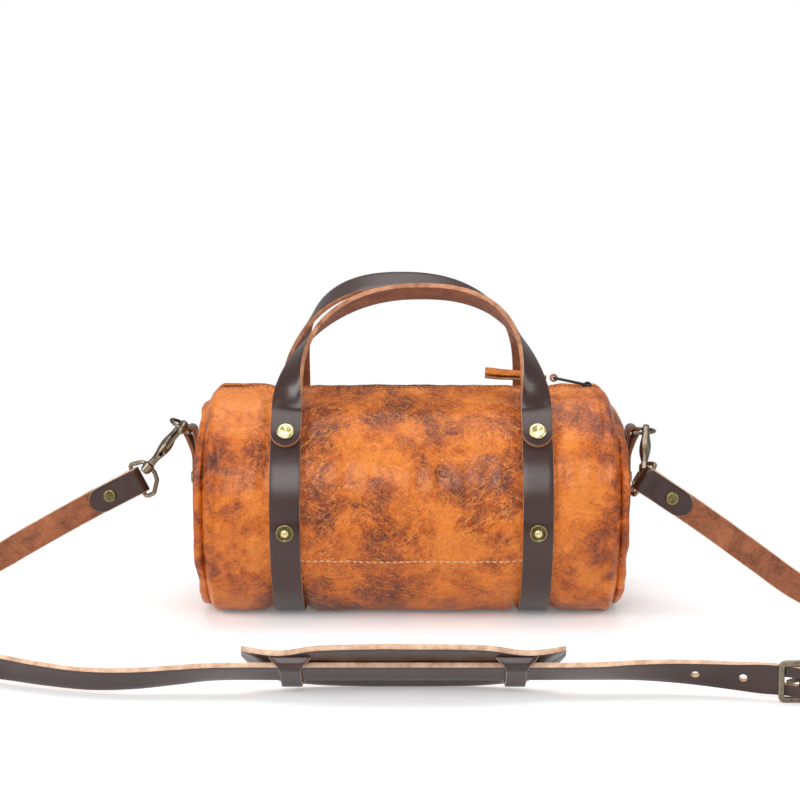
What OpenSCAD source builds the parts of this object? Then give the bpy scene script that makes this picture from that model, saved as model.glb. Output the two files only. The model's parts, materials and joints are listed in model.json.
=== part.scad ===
// Small barrel crossbody bag: a leather cylinder on its side with a zip along the top,
// two body straps, two riveted grab handles and a buckled shoulder strap clipped to its ends.
// X runs along the bag, the front faces -Y, Z is up and the origin is on the floor under its middle.

/* [Body] */
// Length of the body between its end seams
body_len = 270; // [240:1:300]
// Radius of the round body
body_r = 76; // [72:1:82]
// Thickness of the body leather
body_wall = 2.4; // [1.8:0.1:3]
// How far each end panel domes outwards
end_bulge = 7; // [3:0.5:8]
// Radius of the rolled edge round each end panel
roll_r = 3.2; // [2:0.1:4]
// Thickness of the slip pocket sewn inside the front
pocket_wall = 1.4; // [1:0.1:2]
// Room between the slip pocket and the rivets beside it
pocket_room = 2.5; // [1:0.5:20]

/* [Straps and handles] */
// Width of the body straps and handles
strap_w = 20; // [16:0.5:22]
// Thickness of the strap leather
strap_th = 3.2; // [2.4:0.1:3.6]
// Distance of each body strap from the middle of the bag
strap_x = 82; // [74:1:92]
// Angle of the upper rivets above the bag's axis
upper_angle = 40; // [38:1:46]
// Angle of the lower rivets above the bag's axis
lower_angle = -8; // [-20:1:0]
// Angle at which a handle leaves the body
crease_angle = 52; // [52:1:54]
// Length of the front handle above its crease
front_reach = 86; // [80:1:92]
// Length of the rear handle above its crease
rear_reach = 93; // [88:1:98]
// Distance of the front handle's top from the middle
front_top = 10.54; // [9.5:0.1:20]
// Distance of the rear handle's top from the middle
rear_top = 7.25; // [6.5:0.1:20]
// Sideways shift of each handle's top, to the right in front and to the left behind
handle_skew = 7; // [0:0.5:9]

/* [Rivets] */
// Radius of the bright upper rivet caps
cap_r = 5.7; // [5:0.1:6.5]
// Radius of the burrs round the lower rivet posts
burr_r = 5.5; // [5:0.1:6]
// Radius of the rivet shanks
shank_r = 1.6; // [1.2:0.1:2]
// Radius of the small rivet caps on the shoulder strap and tabs
small_cap_r = 4.3; // [3.6:0.1:5]

/* [Zip] */
// Width of the slot in the leather over the zip
slot_w = 24; // [20:1:26]
// Room in the slot past the far end of the zip chain
zip_room = 8.6; // [7:0.2:30]
// Width of one zip tape
tape_w = 15; // [14:0.5:15.5]
// Thickness of the zip tapes
tape_th = 0.9; // [0.6:0.1:1]
// Length of the wire pull between its ends
pull_len = 23.5; // [14:0.5:25]
// Length of the leather pull beyond its eye
lace_len = 47; // [30:1:50]

/* [End tabs and rings] */
// Width of the leather end tabs
tab_w = 19; // [15:0.5:20]
// Distance of each ring's bar out from the middle of its end panel
ring_out = 6.15; // [5.85:0.1:8]
// Height of each ring's bar above the bag's axis
ring_up = 45; // [44:0.5:46]
// Radius of the curve of each ring
ring_r = 11.25; // [11.25:0.25:12]
// Length of the straight sides of each ring
ring_side = 4; // [3:0.5:4]
// Radius of the ring wire
ring_wire_r = 1.25; // [1:0.05:1.4]

/* [Snaps] */
// Inside radius of the snap's hook
throat_r = 4.2; // [4:0.1:4.5]
// Thickness of the hook's round part
hook_th = 3; // [2.4:0.1:3.4]
// Depth of the snap body from front to back
snap_depth = 4.4; // [4:0.1:5]
// Distance from the hook's middle to the swivel collar
snap_len = 34; // [33:0.5:36]
// Radius of the wire of the swivel eye
eye_wire_r = 1.5; // [1.2:0.1:1.7]
// Half the length of the loop of each swivel eye
eye_half = 12.5; // [12:0.5:13.5]

/* [Shoulder strap] */
// Width of the shoulder strap
sling_w = 18; // [16:0.5:18]
// Thickness of the shoulder strap
sling_th = 3.2; // [2.4:0.1:3.2]
// Spacing of the buckle holes
hole_pitch = 25.4; // [20:0.1:30]
// Radius of the punched buckle holes
hole_r = 2.4; // [1.8:0.1:2.8]
// Length of the shoulder pad
pad_len = 185; // [150:1:190]
// Width of the shoulder pad
pad_w = 50; // [44:1:50]
// Thickness of the shoulder pad
pad_th = 2.6; // [2:0.1:3]

/* [Buckle] */
// Distance between the buckle's front bar and its heel bar
buckle_len = 22; // [20:0.5:24]
// Radius of the buckle's bars
buckle_r = 1.4; // [1.2:0.1:1.5]
// Radius of the buckle's prong
prong_r = 1.1; // [0.9:0.05:1.2]

/* [Hidden] */

cognac = "#C8682A";
tan_leather = "#B5713F";
dark_leather = "#4A3A38";
bright_brass = "#E0CF85";
old_brass = "#8A7A60";
gunmetal = "#3A3E3C";
tape_brown = "#3A2A22";

$fn = 72;
fine_fn = 128;
// Everyday clearance between neighbouring solids
gap = 0.3;
// Clearance between faces that only lie on each other
lay = 0.15;
// Running clearance round a pin or a bar
run_gap = 0.1;
// How far a cutting shape runs past the face that it cuts
over = 1;

axis_z = body_r;
half_len = body_len / 2;
inner_r = body_r - body_wall;
strap_in_r = body_r + lay;
strap_out_r = strap_in_r + strap_th;
end_in_r = strap_out_r + lay;
end_out_r = end_in_r + strap_th;
// The body is pressed flat where it stands on its straps
flat_z = strap_th + lay;
bore_r = shank_r + lay;
// Radius of the plain heads inside the bag
back_r = 4.5;

function unit(v) = v / norm(v);

// Turns a shape built along Z so that it runs along X, on the bag's axis
module along_bag(x = 0) {
    translate([x, 0, axis_z]) rotate([0, 90, 0]) children();
}

// Puts a shape that points along Z on the body, pointing outwards; side is 1 in front, -1 behind
module on_body(x, angle, side) {
    translate([x, 0, axis_z]) rotate([side * (90 - angle), 0, 0]) children();
}

module at_rivets(angle) {
    for (x = [-strap_x, strap_x], side = [1, -1]) on_body(x, angle, side) children();
}

// A ring of leather round the bag's axis, cut off above an angle on both sides
module hoop(x, width, r_in, r_out, top_angle) {
    wedge = 2 * r_out;
    difference() {
        along_bag(x - width / 2) difference() {
            cylinder(r = r_out, h = width, $fn = fine_fn);
            translate([0, 0, -over]) cylinder(r = r_in, h = width + 2 * over, $fn = fine_fn);
        }
        translate([x + width / 2 + over, 0, axis_z]) rotate([90, 0, -90])
            linear_extrude(width + 2 * over) polygon([
                [0, 0],
                [wedge * cos(top_angle), wedge * sin(top_angle)],
                [wedge * cos(top_angle), wedge],
                [-wedge * cos(top_angle), wedge],
                [-wedge * cos(top_angle), wedge * sin(top_angle)]
            ]);
    }
}

// Sweeps a box section along frames of [middle, width direction, face direction];
// each section is [low width, high width, low face, high face]
module ribbon(frames, sections) {
    n = len(frames);
    points = [for (i = [0 : n - 1]) let (f = frames[i], s = sections[i])
        for (c = [[s[0], s[2]], [s[1], s[2]], [s[1], s[3]], [s[0], s[3]]])
            f[0] + c[0] * f[1] + c[1] * f[2]];
    sides = [for (i = [0 : n - 2], k = [0 : 3])
        let (a = 4 * i + k, b = 4 * i + (k + 1) % 4)
        for (t = [[a, a + 4, b + 4], [a, b + 4, b]]) t];
    first = [[0, 1, 2, 3]];
    last = [[for (k = [3 : -1 : 0]) 4 * (n - 1) + k]];
    polyhedron(points, concat(first, sides, last), convexity = 8);
}

// Body

// Length over which each edge of the body turns in, and the share of it where the turn is steepest
edge_turn = 7.2;
roll_share = 1 / 3;
slot_to = half_len - edge_turn;
slot_from = -slot_to;
// Start of the cuts for the rivets, well inside the bag
cut_from = body_r / 2;

module body_panel() {
    color(cognac) difference() {
        union() {
            difference() {
                along_bag(-half_len) rotate_extrude($fn = fine_fn) polygon([
                    [inner_r - roll_r, 0],
                    [body_r - roll_r, 0],
                    [body_r - roll_share * roll_r, roll_share * edge_turn],
                    [body_r, edge_turn],
                    [body_r, body_len - edge_turn],
                    [body_r - roll_share * roll_r, body_len - roll_share * edge_turn],
                    [body_r - roll_r, body_len],
                    [inner_r - roll_r, body_len],
                    [inner_r, body_len - edge_turn],
                    [inner_r, edge_turn]
                ]);
                translate([-body_len, -body_r, -over]) cube([2 * body_len, 2 * body_r, flat_z + over]);
            }
            intersection() {
                along_bag(edge_turn - half_len)
                    cylinder(r = body_r, h = body_len - 2 * edge_turn, $fn = fine_fn);
                translate([-body_len, -body_r, flat_z]) cube([2 * body_len, 2 * body_r, body_wall]);
            }
        }
        translate([slot_from, -slot_w / 2, axis_z]) cube([slot_to - slot_from, slot_w, 2 * body_r]);
        at_rivets(upper_angle) translate([0, 0, cut_from]) cylinder(r = bore_r, h = body_r);
        at_rivets(lower_angle) translate([0, 0, cut_from]) cylinder(r = bore_r, h = body_r);
    }
}

rim_r = body_r - roll_r - lay;
dome_fn = 12;
dome_shares = [for (i = [0 : dome_fn]) i / dome_fn];

// End panel built along Z, its rim on z = 0
module end_panel_shape() {
    difference() {
        union() {
            rotate_extrude($fn = fine_fn) polygon(concat(
                [for (s = dome_shares) [rim_r * s, roll_r + end_bulge * (1 - s * s)]],
                [for (i = [dome_fn : -1 : 0]) let (s = dome_shares[i])
                    [rim_r * s, roll_r - body_wall + end_bulge * (1 - s * s)]]
            ));
            rotate_extrude($fn = fine_fn) translate([rim_r - roll_r / 2, roll_r]) circle(r = roll_r - lay);
        }
        translate([tab_rivet_z - axis_z, 0, -over]) cylinder(r = bore_r, h = end_bulge + edge_turn + over);
    }
}

module end_panel_left() {
    color(cognac) mirror([1, 0, 0]) translate([half_len, 0, axis_z]) rotate([0, 90, 0])
        mirror([1, 0, 0]) end_panel_shape();
}

module end_panel_right() {
    color(cognac) translate([half_len, 0, axis_z]) rotate([0, 90, 0])
        mirror([1, 0, 0]) end_panel_shape();
}

// Angles of the pocket's mouth and foot above the bag's axis
pocket_top = 25;
pocket_foot = -30;
pocket_len = 2 * (strap_x - back_r - pocket_room);
pocket_out_r = inner_r - lay;

module inner_pocket() {
    color(tan_leather) intersection() {
        along_bag(-pocket_len / 2) difference() {
            cylinder(r = pocket_out_r, h = pocket_len, $fn = fine_fn);
            translate([0, 0, -over])
                cylinder(r = pocket_out_r - pocket_wall, h = pocket_len + 2 * over, $fn = fine_fn);
        }
        translate([-pocket_len, 0, axis_z]) rotate([90, 0, 90])
            linear_extrude(2 * pocket_len) polygon([
                [0, 0],
                [-body_r * cos(pocket_foot), body_r * sin(pocket_foot)] * 2,
                [-body_r * cos(pocket_top), body_r * sin(pocket_top)] * 2
            ]);
    }
}

// Zip

slider_len = 9;
tooth_pitch = 2.8;
tooth_len = 1.9;
tooth_h = 2.8;
// Share of the tooth's length that its head takes, and of the pitch that a tooth takes
head_share = 1 / 3;
tooth_share = 1 / 2;
stop_len = 2.4;
// Free lane between the two rows, where the slider's divider runs
lane = 1.6;
tape_edge_y = lane / 2 + tooth_len;
tape_out_y = tape_edge_y + tape_w;
tape_r = inner_r - gap;
chain_z = axis_z + tape_r - tape_th / 2;
chain_to = slot_to - slider_len / 2;
chain_from = slot_from + zip_room;
zip_len = chain_to - slider_len / 2 - chain_from;
teeth = floor(zip_len / tooth_pitch);

// Each tape follows the round of the leather above it
module tape(side) {
    from = chain_from - 2 * stop_len;
    color(tape_brown) intersection() {
        along_bag(from) difference() {
            cylinder(r = tape_r, h = slot_to - from, $fn = fine_fn);
            translate([0, 0, -over])
                cylinder(r = tape_r - tape_th, h = slot_to - from + 2 * over, $fn = fine_fn);
        }
        translate([-body_len, side > 0 ? tape_edge_y : -tape_out_y, axis_z])
            cube([2 * body_len, tape_w, body_len]);
    }
}

module zipper_tape_front() {
    tape(-1);
}

module zipper_tape_rear() {
    tape(1);
}

// One row of teeth on its bead; the rear row's teeth stand between the front row's
module tooth_row(side) {
    shift = side > 0 ? 1 - tooth_share : 0;
    root = lane / 2 + head_share * tooth_len;
    edge = tape_edge_y - lay;
    color(gunmetal) translate([chain_from, 0, chain_z - tooth_h / 2]) mirror([0, side > 0 ? 0 : 1, 0])
        linear_extrude(tooth_h) polygon(concat(
            [[teeth * tooth_pitch, edge], [0, edge]],
            [for (i = [0 : teeth - 1])
                let (from = (i + shift) * tooth_pitch, to = (i + shift + tooth_share) * tooth_pitch)
                for (p = [[from, root], [from, lane / 2], [to, lane / 2], [to, root]]) p]
        ));
}

module zipper_teeth_front() {
    tooth_row(-1);
}

module zipper_teeth_rear() {
    tooth_row(1);
}

module zipper_stops() {
    stop_w = tape_edge_y - lay - lane / 2;
    color(gunmetal) {
        for (y = [-tape_edge_y + lay, lane / 2])
            translate([slot_to - stop_len - gap, y, chain_z - tooth_h / 2]) cube([stop_len, stop_w, tooth_h]);
        translate([chain_from - stop_len - gap, -tape_edge_y + lay, chain_z - tooth_h / 2])
            cube([stop_len, 2 * (tape_edge_y - lay), tooth_h]);
    }
}

slider_w = 8;
plate_th = 1.1;
// Share of the slider's length between its middle, its pull and its divider
step_share = 1 / 6;
slider_x = chain_to - step_share * slider_len;
slider_top_z = chain_z + tooth_h / 2 + gap + plate_th;
bridge_r = 2.4;
bridge_wire_r = 0.8;
pull_wire_r = 0.8;
pull_x = slider_x - step_share * slider_len;
pull_z = slider_top_z + pull_wire_r + gap;
pull_rise = 12;
lace_rise = 4;

module zipper_slider() {
    color(gunmetal) {
        for (z = [slider_top_z - plate_th, chain_z - tooth_h / 2 - gap - plate_th])
            translate([slider_x - slider_len / 2, -slider_w / 2, z]) cube([slider_len, slider_w, plate_th]);
        translate([slider_x + slider_len / 4, -lane / 2 + gap, chain_z - tooth_h / 2 - gap - plate_th / 2])
            cube([step_share * slider_len, lane - 2 * gap, tooth_h + 2 * gap + plate_th]);
        intersection() {
            translate([pull_x, 0, pull_z - bridge_wire_r]) rotate([90, 0, 0])
                rotate_extrude() translate([bridge_r, 0]) circle(r = bridge_wire_r);
            translate([pull_x - slider_len / 2, -bridge_r, slider_top_z - plate_th])
                cube([slider_len, 2 * bridge_r, slider_len]);
        }
    }
}

pull_half = bridge_wire_r + pull_wire_r + gap;

// A long link of wire: two sides and two round ends
module link(length, half, wire_r) {
    for (y = [-half, half]) translate([0, y, 0]) rotate([0, -90, 0]) cylinder(r = wire_r, h = length);
    rotate([90, 0, 0]) translate([0, 0, -half]) cylinder(r = wire_r, h = 2 * half);
    translate([-length, 0, 0]) rotate([90, 0, 0]) translate([0, 0, -half]) cylinder(r = wire_r, h = 2 * half);
    for (x = [0, -length], y = [-half, half]) translate([x, y, 0]) sphere(r = wire_r);
}

module zipper_pull() {
    color(gunmetal) translate([pull_x, 0, pull_z]) rotate([0, pull_rise, 0])
        link(pull_len, pull_half, pull_wire_r);
}

lace_eye_r = 2.9;
lace_half_th = 3.1;
// Half the width of the leather pull, and how much of its eye shows before the fold closes
lace_half = 3.2;
lace_neck = 2.5;
lace_eye_w = 2 * (pull_half - pull_wire_r - gap);
lace_x = pull_x - pull_len * cos(pull_rise);
lace_z = pull_z + pull_len * sin(pull_rise);

// A strip folded over the pull's end: an eye, a narrow neck and two leaves with a slit between them
module zipper_lace() {
    color(cognac) translate([lace_x, 0, lace_z]) rotate([0, lace_rise, 0]) {
        difference() {
            rotate([90, 0, 0]) translate([0, 0, -lace_eye_w / 2]) cylinder(r = lace_eye_r, h = lace_eye_w);
            rotate([90, 0, 0]) translate([0, 0, -lace_eye_w])
                cylinder(r = pull_wire_r + run_gap, h = 2 * lace_eye_w);
        }
        difference() {
            translate([-lace_len, -lace_half, -lace_half_th])
                cube([lace_len - lace_eye_r - lace_neck, 2 * lace_half, 2 * lace_half_th]);
            translate([-lace_len - over, -lace_half - over, -lay])
                cube([lace_len - 2 * lace_eye_r - 2 * lace_neck, 2 * (lace_half + over), 2 * lay]);
        }
        translate([-lace_eye_r - lace_neck - over, -lace_eye_w / 2, -lace_eye_r / 2])
            cube([lace_neck + 2 * over, lace_eye_w, lace_eye_r]);
    }
}

// Body straps

// Angle at which the body straps end, under the handles' creases
belt_top = 51;

module body_strap(x) {
    color(dark_leather) difference() {
        union() {
            difference() {
                hoop(x, strap_w, strap_in_r, strap_out_r, belt_top);
                translate([-body_len, -2 * body_r, -body_r]) cube([2 * body_len, 2 * 2 * body_r, body_r]);
            }
            intersection() {
                along_bag(x - strap_w / 2) cylinder(r = strap_out_r, h = strap_w, $fn = fine_fn);
                translate([x - strap_w / 2, -body_r / 2, 0]) cube([strap_w, body_r, strap_th]);
            }
        }
        at_rivets(upper_angle) translate([0, 0, cut_from]) cylinder(r = bore_r, h = body_r);
        at_rivets(lower_angle) translate([0, 0, cut_from]) cylinder(r = bore_r, h = body_r);
    }
}

module body_strap_left() {
    body_strap(-strap_x);
}

module body_strap_right() {
    body_strap(strap_x);
}

// Handles

// The riveted ends that lie on the body straps, up to the crease where a handle bends
module handle_ends(side) {
    color(dark_leather) for (x = [-strap_x, strap_x]) difference() {
        union() {
            intersection() {
                hoop(x, strap_w, end_in_r, end_out_r, crease_angle);
                on_body(x, upper_angle, side) translate([-strap_w / 2, side > 0 ? 0 : -strap_w, cut_from])
                    cube([strap_w, strap_w, body_r]);
            }
            intersection() {
                hoop(x, strap_w, end_in_r, end_out_r, crease_angle);
                on_body(x, upper_angle, side) translate([0, 0, cut_from])
                    cylinder(r = strap_w / 2, h = body_r);
            }
        }
        on_body(x, upper_angle, side) translate([0, 0, cut_from]) cylinder(r = bore_r, h = body_r);
    }
}

module handle_ends_front() {
    handle_ends(1);
}

module handle_ends_rear() {
    handle_ends(-1);
}

// The grip is a rounded arch in a leaning plane, and turns edge-on between its legs and its top
arch_power = 2.35;
twist_power = 3.5;
arch_steps = 40;
crease_y = end_out_r * cos(crease_angle);
crease_z = axis_z + end_out_r * sin(crease_angle);

function arch_x(a, skew) =
    sign(cos(a)) * strap_x * pow(abs(cos(a)), 2 / arch_power) + skew * sin(a) * sin(a);
function arch_s(a, reach) = gap + reach * pow(sin(a), 2 / arch_power);
function arch_point(a, reach, skew) = [arch_x(a, skew), arch_s(a, reach)];
function arch_twist(a) = 90 * (1 - pow(1 - min(a, 180 - a) / 90, twist_power));

// One frame of the arch, in the plane's own axes: X, up along the lean, and out of its front
function arch_frame(a, reach, skew) =
    let (
        d = 1,
        low = max(a - d, 0),
        high = min(a + d, 180),
        t = a <= 0 || a >= 180 ? [0, a <= 0 ? 1 : -1]
            : unit(arch_point(high, reach, skew) - arch_point(low, reach, skew)),
        q = [t[1], -t[0]],
        w = arch_twist(a),
        p = arch_point(a, reach, skew)
    )
    [
        [p[0], p[1], -strap_th / 2 * cos(w)],
        [-cos(w) * q[0], -cos(w) * q[1], sin(w)],
        [sin(w) * q[0], sin(w) * q[1], cos(w)]
    ];

module handle_arch(reach, top, skew) {
    lean = asin((crease_y - top) / reach);
    frames = [for (i = [0 : arch_steps]) arch_frame(180 * i / arch_steps, reach, skew)];
    sections = [for (f = frames) [-strap_w / 2, strap_w / 2, -strap_th / 2, strap_th / 2]];
    color(dark_leather) translate([0, -crease_y, crease_z]) rotate([90 - lean, 0, 0])
        ribbon(frames, sections);
}

module handle_front() {
    handle_arch(front_reach, front_top, handle_skew);
}

module handle_rear() {
    mirror([0, 1, 0]) handle_arch(rear_reach, rear_top, -handle_skew);
}

// Rivets

cap_h = 1.8;
back_h = 1.2;
shank_from = inner_r - back_h;
// Outline of a dished cap: a share of its radius, less a share of its height, then a share of its height
cap_shares = [[0, 0, 0], [1, 0.5, 0], [1, 0, 0.33], [1, 0.25, 0.8], [0.8, 0, 1], [0.62, 0, 0.7], [0, 0, 0.6]];

module cap(r, h) {
    rotate_extrude() polygon([for (s = cap_shares) [s[0] * r - s[1] * h, s[2] * h]]);
}

module handle_rivets() {
    color(bright_brass) at_rivets(upper_angle) {
        translate([0, 0, end_out_r + lay]) cap(cap_r, cap_h);
        translate([0, 0, shank_from - back_h])
            cylinder(r = shank_r, h = end_out_r + cap_h / 2 - shank_from + back_h);
    }
}

module backs(angle) {
    at_rivets(angle) translate([0, 0, shank_from - 2 * lay]) difference() {
        cylinder(r = back_r, h = back_h);
        translate([0, 0, -over]) cylinder(r = shank_r + run_gap, h = back_h + 2 * over);
    }
}

module handle_rivet_backs() {
    color(old_brass) backs(upper_angle);
}

post_r = 2.5;
post_h = 1.5;
burr_h = 1;
// Share of a burr's height that is left where its post comes through
burr_share = 0.6;

module strap_rivets() {
    color(bright_brass) at_rivets(lower_angle) {
        translate([0, 0, strap_out_r + burr_h + 2 * lay]) cap(post_r, post_h);
        translate([0, 0, shank_from])
            cylinder(r = shank_r, h = strap_out_r + burr_h + post_h / 2 - shank_from);
        translate([0, 0, shank_from - 2 * lay]) cylinder(r = back_r, h = back_h);
    }
}

module strap_rivet_burrs() {
    color(old_brass) at_rivets(lower_angle) translate([0, 0, strap_out_r + lay]) rotate_extrude() polygon([
        [shank_r + run_gap, 0], [burr_r - burr_h / 2, 0], [burr_r, burr_h / 2], [burr_r - burr_h / 2, burr_h],
        [shank_r + run_gap, burr_share * burr_h]
    ]);
}

// End tabs and rings

// Heights of the tab's foot and rivet above the bag's axis
tab_foot_up = 3;
tab_rivet_up = 13;
tab_foot_z = axis_z + tab_foot_up;
tab_rivet_z = axis_z + tab_rivet_up;
tab_leaf = 2.2;
fold_r = 4.1;
tab_face_x = half_len + roll_r + end_bulge + lay;
ring_x = tab_face_x + ring_out;
ring_z = axis_z + ring_up;
// Lengths below the fold over which the outer and the inner leaf come together
leaf_falls = [16.4, 10.7];
// Where both leaves meet the round of the fold, as shares of its radius
fold_shares = [0.9, 0.44];
// Room that the curve of the end panel needs behind the tab's rivet
dome_room = 0.75;
tab_shank = 2 * tab_leaf + body_wall + back_h + dome_room;
tab_out_x = tab_face_x + 2 * tab_leaf;
bar_bore_r = ring_wire_r + run_gap;

// Right-hand tab: two leaves down the end panel and a fold round the ring's bar
module tab_shape() {
    difference() {
        union() {
            translate([ring_x, tab_w / 2, ring_z]) rotate([90, 0, 0]) cylinder(r = fold_r, h = tab_w);
            translate([0, tab_w / 2, 0]) rotate([90, 0, 0]) linear_extrude(tab_w) polygon([
                [tab_face_x, tab_foot_z],
                [tab_out_x, tab_foot_z],
                [tab_out_x, ring_z - leaf_falls[0]],
                [ring_x + fold_shares[0] * fold_r, ring_z - fold_shares[1] * fold_r],
                [ring_x - fold_shares[0] * fold_r, ring_z + fold_shares[1] * fold_r],
                [tab_face_x, ring_z - leaf_falls[1]]
            ]);
        }
        translate([ring_x, tab_w, ring_z]) rotate([90, 0, 0]) cylinder(r = bar_bore_r, h = 2 * tab_w);
        translate([tab_face_x - over, 0, tab_rivet_z]) rotate([0, 90, 0])
            cylinder(r = bore_r, h = 2 * tab_leaf + 2 * over);
    }
}

module tab_left() {
    color(tan_leather) mirror([1, 0, 0]) tab_shape();
}

module tab_right() {
    color(tan_leather) tab_shape();
}

module tab_rivets() {
    color(old_brass) for (side = [0, 1]) mirror([side, 0, 0]) translate([tab_out_x + lay, 0, tab_rivet_z])
        rotate([0, 90, 0]) {
            cap(small_cap_r, cap_h);
            translate([0, 0, -tab_shank - lay]) cylinder(r = shank_r, h = tab_shank + 2 * lay);
        }
}

module tab_rivet_backs() {
    color(old_brass) for (side = [0, 1]) mirror([side, 0, 0])
        translate([tab_out_x - tab_shank, 0, tab_rivet_z]) rotate([0, 90, 0]) difference() {
            cylinder(r = back_r, h = back_h);
            translate([0, 0, -over]) cylinder(r = shank_r + run_gap, h = back_h + 2 * over);
        }
}

// A D-ring with its bar on Y, two short sides and its curve towards +X
module d_ring() {
    rotate([90, 0, 0]) translate([0, 0, -ring_r]) cylinder(r = ring_wire_r, h = 2 * ring_r);
    for (y = [-ring_r, ring_r]) translate([0, y, 0]) {
        sphere(r = ring_wire_r);
        rotate([0, 90, 0]) cylinder(r = ring_wire_r, h = ring_side);
    }
    translate([ring_side, 0, 0]) rotate([0, 0, -90]) rotate_extrude(angle = 180)
        translate([ring_r, 0]) circle(r = ring_wire_r, $fn = 32);
}

module ring_left() {
    color(old_brass) translate([-ring_x, 0, ring_z]) mirror([1, 0, 0]) rotate([0, -left_rise, 0]) d_ring();
}

module ring_right() {
    color(old_brass) translate([ring_x, 0, ring_z]) d_ring();
}

// Snaps

// Lift of the left ring on its snap
left_rise = 30;
// Middle of each eye's bar from its ring's bar, and the slope of the strap that pulls it
left_reach = [-35.5, -11, -33];
right_reach = [3, -49.4, -26];
eye_left = [-ring_x, 0, ring_z] + left_reach;
eye_right = [ring_x, 0, ring_z] + right_reach;
left_slope = 27.5;
right_slope = 34;
// Direction of each snap, from its swivel to its hook, and the side to which its hook opens
left_aim = [0.65, 0, 0.76];
right_aim = [0.12, 0.82, 0.56];
left_open = [0.3, -0.9, 0];
right_open = [0, 0.6, -0.8];
// Place of the swivel collar in its eye: away from the bar, and along it
collar_u = 10.6;
collar_v = 5;

// Turns and moves a shape to a frame of its own
module in_frame(at, x, y, z) {
    multmatrix([
        [x[0], y[0], z[0], at[0]],
        [x[1], y[1], z[1], at[1]],
        [x[2], y[2], z[2], at[2]],
        [0, 0, 0, 1]
    ]) children();
}

function across(v, along) = unit(v - (v * along) * along);
function bar_of(slope, side) = [side * sin(slope), 0, cos(slope)];
function out_of(aim, bar) = across(unit(aim), bar);
function collar_at(eye, aim, bar) = eye + collar_u * out_of(aim, bar) + collar_v * bar;

left_bar = bar_of(left_slope, -1);
right_bar = bar_of(right_slope, 1);

// Frame of an eye: its bar's middle is the origin, X points away from the bar, Y runs along it
module at_eye(eye, aim, bar) {
    x = out_of(aim, bar);
    in_frame(eye, x, bar, cross(x, bar)) children();
}

// Frame of a snap: the swivel's middle is the origin, Z points to the hook, the hook opens towards X
module at_snap(eye, aim, bar, open) {
    z = unit(aim);
    x = across(open, z);
    in_frame(collar_at(eye, aim, bar), x, cross(z, x), z) children();
}

module left_eye_frame() {
    at_eye(eye_left, left_aim, left_bar) children();
}

module right_eye_frame() {
    at_eye(eye_right, right_aim, right_bar) children();
}

module left_snap_frame() {
    at_snap(eye_left, left_aim, left_bar, left_open) children();
}

module right_snap_frame() {
    at_snap(eye_right, right_aim, right_bar, right_open) children();
}

stem_r = 2.1;
collar_r = 3.6;
collar_half = 2.8;
head_r = 2.9;
head_h = 1.2;

// A closed loop of wire through corners in a plane, each corner bent to a round in a few steps
module wire_loop(corners, wire_r, bend, steps = 3, sides = 12) {
    n = len(corners);
    rings = [for (i = [0 : n - 1])
        let (
            b = corners[i],
            into = unit(b - corners[(i + n - 1) % n]),
            out = unit(corners[(i + 1) % n] - b),
            turn = acos(into * out),
            first = atan2(into[1], into[0]) - 90,
            centre = b - bend * tan(turn / 2) * into + bend * [-into[1], into[0]]
        )
        for (k = [0 : steps]) let (a = first + turn * k / steps)
            [centre + bend * [cos(a), sin(a)], [cos(a), sin(a)]]];
    m = len(rings);
    points = [for (r = rings, k = [0 : sides - 1]) let (a = 360 * k / sides)
        [r[0][0] + wire_r * cos(a) * r[1][0], r[0][1] + wire_r * cos(a) * r[1][1], wire_r * sin(a)]];
    faces = [for (i = [0 : m - 1], k = [0 : sides - 1])
        let (
            a = sides * i + k,
            b = sides * i + (k + 1) % sides,
            c = sides * ((i + 1) % m) + k,
            d = sides * ((i + 1) % m) + (k + 1) % sides
        )
        for (t = [[a, d, c], [a, b, d]]) t];
    polyhedron(points, faces, convexity = 6);
}

eye_bend = 2.2;
// Corners of a swivel eye between its bar's ends: away from the bar, and along it from the bar's
// lower end, from its middle and from the collar
eye_low = [[6, 0], [12.1, 7]];
eye_front = [13.1, 0];
eye_top = [-1, 5];

module snap_eye(aim, bar) {
    stem = asin(unit(aim) * bar);
    corners = [
        [0, -eye_half], eye_low[0] - [0, eye_half], eye_low[1] - [0, eye_half], eye_front,
        [collar_u, collar_v] + eye_top, [0, eye_half]
    ];
    color(old_brass) difference() {
        union() {
            wire_loop(corners, eye_wire_r, eye_bend);
            translate([collar_u, collar_v, 0]) rotate([0, 0, stem]) rotate([0, 90, 0])
                translate([0, 0, -collar_half]) cylinder(r = collar_r, h = 2 * collar_half);
        }
        translate([collar_u, collar_v, 0]) rotate([0, 0, stem]) rotate([0, 90, 0])
            translate([0, 0, -2 * collar_half]) cylinder(r = stem_r + run_gap, h = 4 * collar_half);
    }
}

module snap_eye_left() {
    left_eye_frame() snap_eye(left_aim, left_bar);
}

module snap_eye_right() {
    right_eye_frame() snap_eye(right_aim, right_bar);
}

hook_out_r = throat_r + hook_th;
pin_r = 0.8;
pin_x = 1.2;
// Distance of the lever's pin below the throat
pin_drop = 9.5;
pin_z = snap_len - throat_r - pin_drop;
slot_y = 2;
// Shares of the snap's length where its body is widest, where it narrows and where its back bends in
body_shares = [0.34, 0.62, 0.5];
// Share of the hook's outer radius to which the body's front stands out
front_share = 0.75;
// Start of the lever's slot from the snap's middle, and the share of its length where it begins
slot_from_x = -1.9;
slot_share = 0.36;
// Corners of the lever, from its pin at the foot and from the hook's mouth at the head
lever_foot = [[-1.6, -3], [2, -3.4]];
lever_tip = [[2.6, -4.4], [3, -3.4], [-0.6, -0.6]];
lever_head = [[2.2, -0.9], [0.5, -0.3]];
lever_back = [-1.4, 2.4];

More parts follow.
